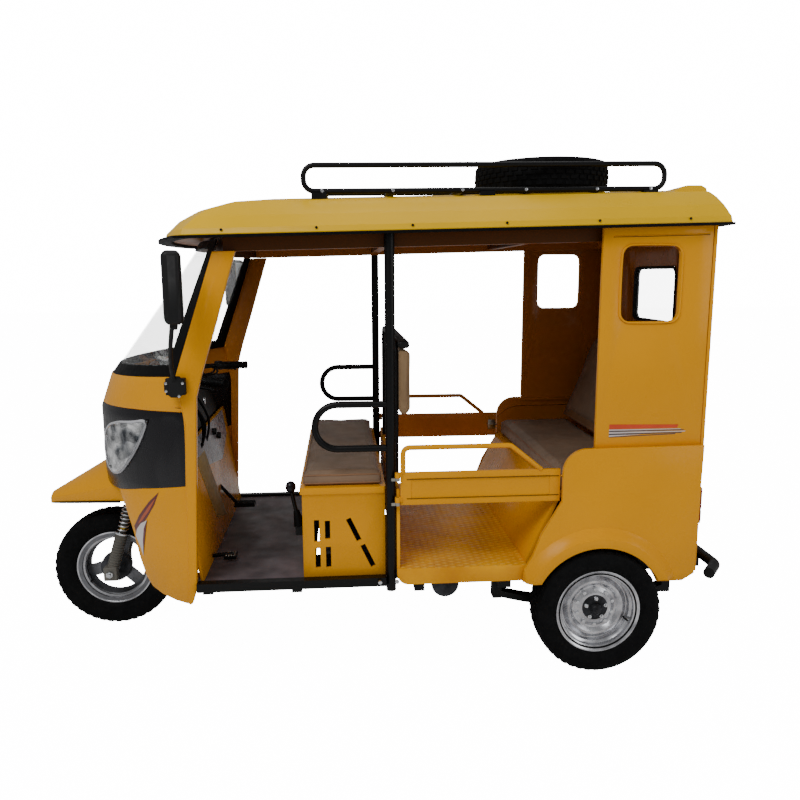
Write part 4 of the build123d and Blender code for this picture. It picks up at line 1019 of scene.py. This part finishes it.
def cowl_point(x, z, lift=0.0):
    """Point on the cowl's left half at a place in the side view, or lifted off it."""
    height = min(max(z, COWL[0][0]), COWL[-1][0])
    below, above = next((a, b) for a, b in zip(COWL, COWL[1:]) if height <= b[0])
    share = (height - below[0]) / (above[0] - below[0])
    nose = below[1] + share * (above[1] - below[1])
    side = below[2] + share * (above[2] - below[2])
    depth = (side - nose) / (1 - (1 - 1 / COWL_WIDEN ** 2) ** 0.5)
    wide = COWL_WIDEN * COWL_HALF
    back = min(max(1 - (x - nose) / depth, 0.0), 1.0)
    spot = Vector((x, -wide * (1 - back * back) ** 0.5, z))
    out = Vector(((x - nose - depth) / depth ** 2, spot.y / wide ** 2, 0)).normalized()
    return spot + lift * out


class RICKSHAW_OT_lamps(bpy.types.Operator):
    """Reflectors, bowls and bulbs behind the headlamp lenses, and the tail lamps' lenses."""

    bl_idname = "rickshaw.lamps"
    bl_label = "Lamps"

    def execute(self, context):
        turn = LAMP_OUT.to_track_quat("Z", "Y").to_euler()
        bpy.ops.object.select_all(action="DESELECT")
        bpy.ops.mesh.primitive_cone_add(
            vertices=16, radius1=0.022, radius2=0.076, depth=0.055, end_fill_type="NOTHING",
            location=LAMP_CENTRE - LAMP_OUT * 0.04, rotation=turn)
        dish = bpy.context.object
        modified(dish, "SOLIDIFY", thickness=0.002)
        bpy.ops.mesh.primitive_circle_add(
            vertices=24, radius=0.112, fill_type="NGON",
            location=LAMP_CENTRE - LAMP_OUT * 0.03, rotation=turn)
        plate = bpy.context.object
        bpy.ops.object.mode_set(mode="EDIT")
        bpy.ops.mesh.inset(thickness=0.037)
        bpy.ops.mesh.delete(type="FACE")
        bpy.ops.object.mode_set(mode="OBJECT")
        modified(plate, "SOLIDIFY", thickness=0.002)
        both_sides(joined([dish, plate]), "reflector", "chrome", 10)
        bulb = drum(LAMP_CENTRE - LAMP_OUT * 0.06, LAMP_CENTRE - LAMP_OUT * 0.023, 0.011, 20, 0.005)
        both_sides(bulb, "bulb", "plain plate")
        bowl = linked("bowl", NODES["headlights"].data.copy())
        modified(bowl, "DISPLACE", strength=-0.004, mid_level=0)
        settle(bowl, "lamp_bowls", "lamp chrome", "body", 20)
        rim = [cowl_point(x, z, 0.001) for x, z in LAMP_OUTLINE]
        bead(rim, 0.006, "lamp_rim", "pale bezel", closed=True, mirror=True)
        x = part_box("tail_lamps")[1][0]
        for name, finish, low, high in (
            ("brake_lens", "red lens", 0.622, 0.7085), ("flasher_lens", "amber lens", 0.5715, 0.618),
        ):
            both_sides(block((x - 0.004, -0.523, low), (x + 0.004, -0.437, high), 0.004, 3), name, finish)
        return {"FINISHED"}


class RICKSHAW_OT_mirrors(bpy.types.Operator):
    """Glasses, collars, feet and screws of the mirrors."""

    bl_idname = "rickshaw.mirrors"
    bl_label = "Mirrors"

    def execute(self, context):
        toe = Matrix.Translation((-0.704, -0.75, 1.533)) @ Matrix.Rotation(radians(14), 4, "Z")
        glass = block((0.03, -0.06, -0.106), (0.0322, 0.06, 0.106), 0.0009, 1)
        modified(glass, "BEVEL", width=0.016, segments=5, limit_method="ANGLE", angle_limit=radians(80))
        glass.matrix_world = toe @ glass.matrix_world
        both_sides(glass, "mirror_glass", "mirror silver")
        collar = drum((-0.706, -0.75, 1.392), (-0.704, -0.75, 1.424), 0.014, 20, 0.003)
        sleeve = drum((-0.7435, -0.602, 1.176), (-0.7435, -0.606, 1.203), 0.013, 20, 0.003)
        both_sides(joined([collar, sleeve]), "mirror_collars", "grained black moulding")
        foot = drum((-0.741, -0.612, 1.176), (-0.741, -0.6235, 1.176), 0.042, 8, 0.003)
        foot.matrix_world = foot.matrix_world @ Matrix.Rotation(radians(22.5), 4, "Z")
        both_sides(foot, "mirror_foot", "grained black moulding")
        screws = []
        for x, z in ((-0.772, 1.19), (-0.713, 1.19), (-0.772, 1.162), (-0.727, 1.143)):
            screws.append(drum((x, -0.612, z), (x, -0.6265, z), 0.0055, 16, 0.0015))
        both_sides(joined(screws), "mirror_screws", "chrome")
        return {"FINISHED"}


def decal(outline, name, finish, target, lift=0.0006):
    """Thin film with an outline in the side view, laid on both flanks of a panel."""
    piece = placed(name, [(x, BESIDE, z) for x, z in outline], [], [list(range(len(outline)))])

    def subdivide():
        bpy.ops.mesh.subdivide(number_cuts=5)

    edited(piece, bpy.ops.mesh.quads_convert_to_tris, subdivide)
    modified(
        piece, "SHRINKWRAP", target=target, wrap_method="PROJECT", use_project_y=True, use_project_z=False,
        use_negative_direction=True, use_positive_direction=True, offset=lift, wrap_mode="ABOVE_SURFACE",
    )
    modified(piece, "SOLIDIFY", thickness=0.0004, offset=0)
    both_sides(piece, name, finish, 40)


class RICKSHAW_OT_stripes(bpy.types.Operator):
    """Film stripes on the rear quarters and blades on the leg shields."""

    bl_idname = "rickshaw.stripes"
    bl_label = "Stripes"

    def execute(self, context):
        flank = bpy.data.objects["rear_quarter_panels_skin"]
        # top at the front and at the rear, depth there, rear end x, film
        runs = (
            (1.001, 0.996, 0.019, 0.013, 1.158, "orange"),
            (0.981, 0.98, 0.005, 0.0025, 1.17, "silver"),
            (0.9755, 0.976, 0.004, 0.003, 1.183, "slate"),
            (0.971, 0.9705, 0.0065, 0.003, 1.189, "silver"),
            (0.964, 0.9655, 0.0045, 0.003, 1.176, "slate"),
            (0.959, 0.96, 0.0065, 0.0005, 1.01, "silver"),
            (0.9525, 0.961, 0.003, 0.003, 1.15, "slate"),
        )
        for i, (z0, z1, deep, thin, end, colour) in enumerate(runs):
            run = [(0.883, z0), (end, z1), (end - 0.004, z1 - thin), (0.883, z0 - deep)]
            decal(run, f"stripe_{i + 1}", colour + " film", flank)
        shield = bpy.data.objects["leg_shields_skin"]
        blades = (
            ("blade_upper", "maroon film", (
                (-0.85, 0.751), (-0.899, 0.703), (-0.951, 0.637), (-0.984, 0.579),
                (-0.976, 0.545), (-0.962, 0.575), (-0.917, 0.628), (-0.875, 0.694))),
            ("blade_core", "rust film", (
                (-0.868, 0.722), (-0.898, 0.688), (-0.938, 0.634), (-0.962, 0.594),
                (-0.937, 0.618), (-0.905, 0.66), (-0.884, 0.692))),
            ("blade_flash", "silver film", (
                (-0.915, 0.623), (-0.946, 0.602), (-0.97, 0.57), (-0.979, 0.538), (-0.968, 0.517),
                (-0.956, 0.493), (-0.947, 0.463), (-0.937, 0.521), (-0.926, 0.575))),
            ("blade_lower", "maroon film", (
                (-0.913, 0.626), (-0.924, 0.576), (-0.935, 0.522),
                (-0.945, 0.47), (-0.942, 0.53), (-0.933, 0.584))),
        )
        for i, (name, finish, outline) in enumerate(blades):
            decal(outline, name, finish, shield, 0.0006 + 0.0004 * i)
        return {"FINISHED"}


# ---------------- operators: upholstery
# the stuffing swells for this many frames
SWELL_FRAMES = 20


def swollen(piece):
    """Places of a cover's points after the cloth has been blown up."""
    pick(piece)
    bpy.ops.object.modifier_add(type="CLOTH")
    cloth = piece.modifiers[-1]
    cloth.settings.use_pressure = True
    cloth.settings.uniform_pressure_force = 4.0
    cloth.settings.effector_weights.gravity = 0.0
    cloth.settings.quality = 5
    for number in range(1, SWELL_FRAMES + 1):
        bpy.context.scene.frame_set(number)
    blown = piece.evaluated_get(bpy.context.evaluated_depsgraph_get())
    places = [v.co.copy() for v in blown.to_mesh().vertices]
    blown.to_mesh_clear()
    bpy.ops.object.modifier_remove(modifier=cloth.name)
    bpy.context.scene.frame_set(1)
    return places


def stuffed(piece, name, finish, node):
    """Swell a cover with stuffing: remesh, inflate with cloth, then keep each point near where it began."""
    low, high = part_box(node)
    cap = sizes().puff
    pick(piece)
    bpy.ops.object.transform_apply(location=True, rotation=True, scale=True)
    modified(piece, "REMESH", mode="VOXEL", voxel_size=sizes().voxel)
    places = swollen(piece)
    for vertex, place in zip(piece.data.vertices, places):
        step = place - vertex.co
        if step.length > cap:
            step = step * (cap / step.length)
        at = vertex.co + step
        vertex.co = [min(max(value, a), b) for value, a, b in zip(at, low, high)]
    modified(piece, "SUBSURF", levels=1, render_levels=1)
    piece = settle(piece, name, finish, "body", 60)
    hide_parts(node)
    return piece


def seat_cushion(name, node, inset, drop, roll):
    """Seat cushion a little inside the box of its CAD piece."""
    low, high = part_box(node)
    begin = (low[0] + inset, low[1] + inset, low[2])
    end = (high[0] - inset, high[1] - inset, high[2] - drop)
    return stuffed(block(begin, end, roll, 3), name, "seat vinyl", node)


def piping(name, node, cover, height, inset, corner):
    """Welt sewn round a cushion: a cord that lies on its cover."""
    low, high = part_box(node)
    radius = sizes().piping
    # most of the cord is sunk into the seam
    line = laid(ring_points(low, high, height, inset, corner), cover, 0.35 * radius)
    settle(bent_bar(line, radius, closed=True), name, "band vinyl", "body", 60)


# side outline of the bench's backrest, from the foot of its front
WEDGE = ((1.054, 0.818), (1.216, 1.245), (1.254, 1.245), (1.254, 1.182), (1.122, 0.818))


def ring_points(low, high, z, inset, corner):
    """Rounded rectangle of control points at one height."""
    x0, y0, x1, y1 = low[0] + inset, low[1] + inset, high[0] - inset, high[1] - inset
    points = []
    for cx, cy, dx, dy in ((x0, y0, 1, 1), (x1, y0, -1, 1), (x1, y1, -1, -1), (x0, y1, 1, -1)):
        pair = [(cx, cy + dy * corner, z), (cx, cy, z), (cx + dx * corner, cy, z)]
        points += pair if dx * dy > 0 else pair[::-1]
    ordered = []
    for i, point in enumerate(points):
        ordered.append(point)
        following = points[(i + 1) % len(points)]
        if i % 3 == 2:
            for step in range(1, 12):
                share = step / 12
                ordered.append(tuple(a + (b - a) * share for a, b in zip(point, following)))
    return ordered


class RICKSHAW_OT_upholstery(bpy.types.Operator):
    """Driver's cushion and backrest, passengers' bench cushion and backrest."""

    bl_idname = "rickshaw.upholstery"
    bl_label = "Upholstery"

    def execute(self, context):
        cover = seat_cushion("cushion_driver", "driver_cushion", 0.008, 0.01, 0.012)
        low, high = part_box("driver_cushion")
        piping("piping_driver", "driver_cushion", cover, high[2] - 0.004, 0.004, 0.02)
        piping("piping_driver_low", "driver_cushion", cover, low[2] + 0.005, 0.004, 0.02)
        cover = seat_cushion("cushion_bench", "bench_cushion", 0.01, 0.012, 0.016)
        piping("piping_bench", "bench_cushion", cover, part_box("bench_cushion")[1][2] - 0.004, 0.005, 0.03)

        low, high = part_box("driver_backrest_pad")
        begin = (low[0] + 0.004, low[1] + 0.012, low[2] + 0.012)
        end = (high[0] - 0.01, high[1] - 0.012, high[2] - 0.012)
        stuffed(block(begin, end, 0.012, 3), "backrest_driver", "pad vinyl", "driver_backrest_pad")
        begin = (low[0] - 0.003, low[1] + 0.006, high[2] - 0.018)
        end = (high[0] - 0.006, high[1] - 0.006, high[2] + 0.012)
        settle(block(begin, end, 0.01, 3), "backrest_cap", "grained black moulding")

        # bench backrest: the CAD wedge's front slope, padded
        low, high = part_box("bench_backrest")
        y0, y1 = low[1] + 0.01, high[1] - 0.01
        points = [(x, y, z) for y in (y0, y1) for x, z in WEDGE]
        faces = [(i, i + 5, (i + 1) % 5 + 5, (i + 1) % 5) for i in range(5)]
        wedge = placed("wedge", points, [], [(0, 1, 2, 3, 4), (9, 8, 7, 6, 5)] + faces)
        edited(wedge, outwards)
        modified(wedge, "BEVEL", width=0.014, segments=3, limit_method="ANGLE")
        stuffed(wedge, "backrest_bench", "seat vinyl", "bench_backrest")
        # padded roll up its front
        (foot_x, foot_z), (top_x, top_z) = WEDGE[:2]
        slope = Matrix.Rotation(atan2(top_x - foot_x, top_z - foot_z), 4, "Y")
        roll = block((-0.004, y0 + 0.02, 0.01), (0.004, y1 - 0.02, 0.12), 0.004, 3)
        roll.matrix_world = Matrix.Translation((foot_x - 0.004, 0, foot_z)) @ slope @ roll.matrix_world
        settle(roll, "backrest_roll", "roll vinyl")
        return {"FINISHED"}


# ---------------- operators: cab and body trim
def roof_point(x, y, height):
    """Point in the roof's own tilted frame."""
    rise, run = sin(ROOF_TILT), cos(ROOF_TILT)
    return Vector((x * run - height * rise, y, ROOF_FOOT_Z + x * rise + height * run))


def pressed_line(name, line, radius, seam, shade_radius):
    """Raised line in the body's enamel on both sides, and a dark line of painted shade under it."""
    bead(line, radius, name, "body enamel", mirror=True)
    bead(seam, shade_radius, name + "_seam", "seam sealer", mirror=True)


class RICKSHAW_OT_trim(bpy.types.Operator):
    """Screws, bolts and nuts, pressed lines and edges, the horn, and the number plate with its lamp."""

    bl_idname = "rickshaw.trim"
    bl_label = "Body trim"

    def execute(self, context):
        # screws through the roof's lip
        screws = []
        head = Vector((0, -0.0035, 0))
        for x in (-0.55, -0.22, 0.12, 0.46, 0.8, 1.14):
            spot = roof_point(x, -0.6385, 0.016)
            screws.append(drum(spot, spot + head, 0.0048, 16, 0.001))
        both_sides(joined(screws), "roof_screws", "chassis paint")
        # bolts through the centre pillars' feet
        feet = []
        for x in (-0.006, 0.06):
            feet.append(drum((x, -0.612, 0.399), (x, -0.6215, 0.399), 0.0085, 20, 0.003))
        both_sides(joined(feet), "pillar_bolts", "chrome")
        # rack nuts, at the slats' ends
        nuts = []
        for x in (-0.2, 0.06, 0.32, 0.56, 0.832, 1.04):
            z = RACK_Z + (x - RACK_X) * sin(RACK_TILT)
            nuts.append(drum((x, -0.498, z), (x, -0.5045, z), 0.0065, 6, 0.0008))
        both_sides(joined(nuts), "rack_nuts", "chrome")
        # bead round each side window: middles of its corners, and where each corner's quarter turn begins
        rounded = 0.041
        corners = []
        for cx, cz, begin in ((1.095, 1.638, 0), (0.943, 1.638, 90), (0.943, 1.43, 180), (1.095, 1.43, 270)):
            for turn in (0, 30, 60, 90):
                angle = radians(begin + turn)
                corners.append((cx + rounded * cos(angle), PANEL_FACE, cz + rounded * sin(angle)))
        bead(corners, 0.0045, "window_bead", "body enamel", closed=True, mirror=True)
        # pressed lines: above the window, along the upper panel's foot, under the lower panel's top
        lines = (
            ("quarter_line", 0.0022, [(0.868, 1.709), (0.9, 1.7095), (1.2, 1.7165), (1.236, 1.718)]),
            ("foot_line", 0.0018, [(0.835, 0.902), (0.9, 0.902), (1.2, 0.9105), (1.262, 0.913)]),
            ("panel_line", 0.0022, [
                (0.7, 0.8), (0.742, 0.846), (0.815, 0.868), (0.9, 0.865), (1.2, 0.8705), (1.256, 0.871)]),
        )
        for name, radius, outline in lines:
            # a little sunk into the panel's face
            line = [(x, PANEL_FACE + 0.001, z) for x, z in outline]
            # a dark line of painted shade just under each raised line
            seam = [(x, PANEL_FACE + 0.0004, z - 0.003) for x, z in outline]
            pressed_line(name, line, radius, seam, 0.0012)
        # rolled edge down the cowl's rear, with the joint's bump on it
        y = -COWL_HALF - 0.0015
        edge = [
            (-0.738, y, 0.325), (-0.736, y, 0.42), (-0.727, y, 0.765), (-0.727, y - 0.0025, 0.772),
            (-0.727, y, 0.779), (-0.717, y, 1.03), (-0.728, y, 1.1), (-0.742, y, 1.18),
            (-0.747, y, 1.208),
        ]
        bead(edge, 0.0045, "door_edge", "body enamel", mirror=True)
        # two pressed lines between the yellow cowl and the black panel
        creases = (
            ("cowl_crease_high",
             ((-1.188, 1.048), (-1.1, 1.066), (-0.994, 1.081), (-0.889, 1.087), (-0.735, 1.093))),
            ("cowl_crease_low",
             ((-1.134, 1.056), (-1.05, 1.061), (-0.97, 1.065), (-0.889, 1.069), (-0.735, 1.076))),
        )
        cowl = bpy.data.objects["cowl_upper_skin"]
        for name, outline in creases:
            line = laid([cowl_point(x, z, 0.004) for x, z in outline], cowl, 0.0004)
            # a dark line of painted shade under each crease
            seam = laid([cowl_point(x, z - 0.0034, 0.004) for x, z in outline], cowl, 0.0002)
            pressed_line(name, line, 0.0024, seam, 0.0014)
        # the gates' folded edges, drawn as dark lines of painted shade
        for side, word in SIDES:
            for name, z in (("high", 0.803), ("low", 0.727)):
                fold = [(x, side * GATE_FACE, z) for x in (0.1, 0.3, 0.5, 0.692)]
                bead(fold, 0.0014, f"gate_fold_{name}_{word}", "seam sealer", "gate_" + word)
        # black edge under the beak
        half = [
            (-1.087, -0.219, 0.629), (-1.18, -0.17, 0.616), (-1.32, -0.101, 0.597), (-1.428, -0.046, 0.583),
            (-1.438, -0.03, 0.582),
        ]
        rim = half + [(x, -y, z) for x, y, z in reversed(half)]
        bead(rim, 0.005, "beak_edge", "seal rubber")
        # the horn inside the leg shields, clear of the turning fork
        y, z = 0.42, 0.62
        horn = drum((-0.805, y, z), (-0.765, y, z), 0.034, 32, 0.004)
        stem = drum((-0.768, y, z), (-0.726, y, z), 0.009, 16)
        settle(joined([horn, stem]), "horn", "grained black moulding")
        # blank number plate, its bracket and lamp
        plate = block((1.3165, -0.15, 0.5), (1.3185, 0.15, 0.61), 0.0008)
        settle(plate, "number_plate", "plain plate")
        bracket = block((1.3095, -0.155, 0.495), (1.317, 0.155, 0.615), 0.0015)
        settle(bracket, "plate_bracket", "black powder coat")
        lamp = block((1.31, -0.035, 0.622), (1.334, 0.035, 0.642), 0.005, 3)
        settle(lamp, "plate_lamp", "grained black moulding")
        # sheet-metal bead across the rear wall
        across = [-0.56 + i * 0.14 for i in range(9)]
        for name, z in (("rear_bead_low", 0.7), ("rear_bead_high", 1.25)):
            points = [(REAR_EDGE_X + REAR_BOW * (1 - (y / REAR_HALF) ** 2), y, z) for y in across]
            bead(points, 0.005, name, "body enamel")
        return {"FINISHED"}


def toe_panel_x(z):
    """x of the sloping panel's cabin face at a height."""
    return TOE_X + (TOE_Z - z) * TOE_SLOPE


class RICKSHAW_OT_cab(bpy.types.Operator):
    """Lever and pedal pads, a grey lining and a strip of painted highlight, knobs, cables, glove box lid,
    gate latches and the engine's fittings.
    """

    bl_idname = "rickshaw.cab"
    bl_label = "Cab fittings"

    def execute(self, context):
        knob = ball((-0.352, -0.43, 0.736), 0.0215, (1, 1, 1.15))
        boot = drum((-0.32, -0.43, 0.575), (-0.333, -0.43, 0.64), 0.024, 24, 0.004, 0.011)
        settle(knob, "lever_knob", "gloss black moulding")
        settle(boot, "lever_boot", "seal rubber")
        brake = row((-0.652, 0.074, 0.511), (-0.563, 0.081, 0.5155), (0, 0.011, 0), 5)
        settle(brake, "pedal_pad", "seal rubber")
        shift = row((-0.635, -0.357, 0.4235), (-0.629, -0.303, 0.428), (0.011, 0, 0), 4)
        settle(shift, "shift_pad", "zinc steel")
        # grey lining and a pale strip of painted highlight on the sloping panel, knobs on the lining
        linings = (
            ("toe_strip", "pale highlight", 0.001, (
                (-0.29, 0.82), (-0.11, 0.82), (0.1, 0.455), (-0.115, 0.515))),
            ("toe_lining", "grey lining", 0.0005, (
                (-0.3, 0.895), (0.47, 0.895), (0.47, 0.77), (0.25, 0.69), (-0.08, 0.745), (-0.3, 0.845))),
        )
        for name, finish, lift, outline in linings:
            corners = [(toe_panel_x(z) + lift, y, z) for y, z in outline]
            lining = placed(name, corners, [], [tuple(range(len(corners)))])
            modified(lining, "SOLIDIFY", thickness=0.004, offset=0)
            modified(lining, "BEVEL", width=0.0015, segments=2, limit_method="ANGLE")
            settle(lining, name, finish)
        knobs = []
        for y, z in ((0.13, 0.852), (0.215, 0.815)):
            x = toe_panel_x(z)
            knobs.append(drum((x - 0.002, y, z), (x + 0.022, y, z), 0.016, 24, 0.004))
        settle(joined(knobs), "toe_knobs", "grained black moulding")
        cables = []
        for y, sag in ((-0.19, 0.05), (-0.15, 0.03), (-0.06, 0.042)):
            cable = [
                (-0.782, y, 1.055), (-0.782 + sag, y - 0.012, 1.0), (-0.765 + sag, y + 0.01, 0.92),
                (-0.752, y + 0.04, 0.838),
            ]
            cables.append(bent_bar(cable, 0.0055))
        settle(joined(cables), "dash_cables", "seal rubber")
        lid = block((-0.7835, -0.36, 0.935), (-0.7785, -0.1, 1.045), 0.003, 2)
        key = drum((-0.781, 0.12, 1.0), (-0.772, 0.12, 1.0), 0.016, 32, 0.002)
        settle(lid, "glove_lid", "grey moulding")
        settle(key, "key_lock", "chrome")
        latch = block((0.65, -0.5835, 0.74), (0.69, -0.5775, 0.792), 0.002, 2)
        bar = drum((0.655, -0.5765, 0.766), (0.696, -0.5765, 0.766), 0.0045, 16)
        latch = settle(joined([latch, bar]), "latch_left", "zinc steel", "gate_left")
        mirrored(latch, "latch_right", "gate_right")
        fins = row((-0.2485, -0.1825, 0.3), (-0.004, 0.1825, 0.306), (0, 0, 0.022), 7)
        settle(fins, "engine_fins", "cast metal")
        pipe = ((-0.06, -0.15, 0.29), (0.04, -0.26, 0.285), (0.18, -0.33, 0.32), (0.252, -0.375, 0.368))
        settle(bent_bar(pipe, 0.014), "exhaust_pipe", "zinc steel")
        return {"FINISHED"}


# ---------------- operators: stage
FLOOR_SIZE = 60
# camera: place, focal length and film width in mm, and its turn to the right, down and about its own axis
CAMERA_PLACE = (-0.141, -3.294, 1.572)
CAMERA_LENS = 33.01
CAMERA_FILM = 36
CAMERA_YAW = 0.08
CAMERA_PITCH = 0.169
CAMERA_ROLL = -0.004


class RICKSHAW_OT_stage(bpy.types.Operator):
    """Pale floor, soft lights and the camera."""

    bl_idname = "rickshaw.stage"
    bl_label = "Stage"

    def execute(self, context):
        bpy.ops.object.select_all(action="DESELECT")
        bpy.ops.mesh.primitive_plane_add(size=FLOOR_SIZE, location=(0, 0, 0))
        floor = bpy.context.object
        floor.name = "studio_floor"
        paint(floor, "studio paper")

        world = bpy.data.worlds.new("studio")
        world.use_nodes = True
        # the camera sees white, the vehicle a dimmer room
        tree = world.node_tree
        glow = seen_by_camera(tree, 0.34, 16.0)
        tree.nodes["Background"].inputs[0].default_value = (1.0, 1.0, 1.0, 1)
        tree.links.new(glow.outputs[0], tree.nodes["Background"].inputs[1])
        context.scene.world = world

        # name, place, point it is aimed at, width, height, power
        softboxes = (
            ("key_softbox", (-2.6, -3.6, 5.2), (0, 0, 0.9), 3.4, 2.6, 180),
            ("top_softbox", (0.6, 0.0, 5.4), (0.2, 0, 0), 4.0, 2.6, 50),
            ("fill_softbox", (4.6, -3.4, 2.2), (0, 0, 0.9), 2.6, 2.4, 45),
        )
        for name, place, aim, wide, tall, power in softboxes:
            bpy.ops.object.light_add(type="AREA", location=place)
            light = bpy.context.object
            light.name = name
            light.data.shape = "RECTANGLE"
            light.data.size = wide
            light.data.size_y = tall
            light.data.energy = power
            light.rotation_euler = (Vector(aim) - Vector(place)).to_track_quat("-Z", "Y").to_euler()

        bpy.ops.object.camera_add(location=CAMERA_PLACE)
        camera = bpy.context.object
        camera.data.sensor_width = CAMERA_FILM
        camera.data.lens = CAMERA_LENS
        level = cos(CAMERA_PITCH)
        ahead = Vector((sin(CAMERA_YAW) * level, cos(CAMERA_YAW) * level, -sin(CAMERA_PITCH)))
        turn = ahead.to_track_quat("-Z", "Y").to_matrix() @ Matrix.Rotation(CAMERA_ROLL, 3, "Z")
        camera.rotation_euler = turn.to_euler()
        context.scene.camera = camera
        return {"FINISHED"}


class RICKSHAW_PT_panel(bpy.types.Panel):
    """Sidebar panel that lists the settings and the steps."""

    bl_idname = "RICKSHAW_PT_panel"
    bl_label = "Rickshaw"
    bl_space_type = "VIEW_3D"
    bl_region_type = "UI"
    bl_category = "Rickshaw"

    def draw(self, context):
        for group in (context.scene.rickshaw_paint, context.scene.rickshaw_sizes):
            for name in group.__annotations__:
                self.layout.prop(group, name)
        for step in STEPS:
            self.layout.operator(step.bl_idname)


STEPS = (
    RICKSHAW_OT_finishes,
    RICKSHAW_OT_panels,
    RICKSHAW_OT_tyres,
    RICKSHAW_OT_wheel_fittings,
    RICKSHAW_OT_fork,
    RICKSHAW_OT_handlebar,
    RICKSHAW_OT_lamps,
    RICKSHAW_OT_mirrors,
    RICKSHAW_OT_stripes,
    RICKSHAW_OT_upholstery,
    RICKSHAW_OT_trim,
    RICKSHAW_OT_cab,
    RICKSHAW_OT_stage,
)
CLASSES = (RickshawPaint, RickshawSizes) + STEPS + (RICKSHAW_PT_panel,)


def register():
    for item in CLASSES:
        bpy.utils.register_class(item)
    bpy.types.Scene.rickshaw_paint = bpy.props.PointerProperty(type=RickshawPaint)
    bpy.types.Scene.rickshaw_sizes = bpy.props.PointerProperty(type=RickshawSizes)


def unregister():
    del bpy.types.Scene.rickshaw_sizes
    del bpy.types.Scene.rickshaw_paint
    for item in reversed(CLASSES):
        bpy.utils.unregister_class(item)


def main():
    """Register the add-on and run every step in order."""
    register()
    for step in STEPS:
        space, name = step.bl_idname.split(".")
        getattr(getattr(bpy.ops, space), name)()


if __name__ == "__main__":
    main()
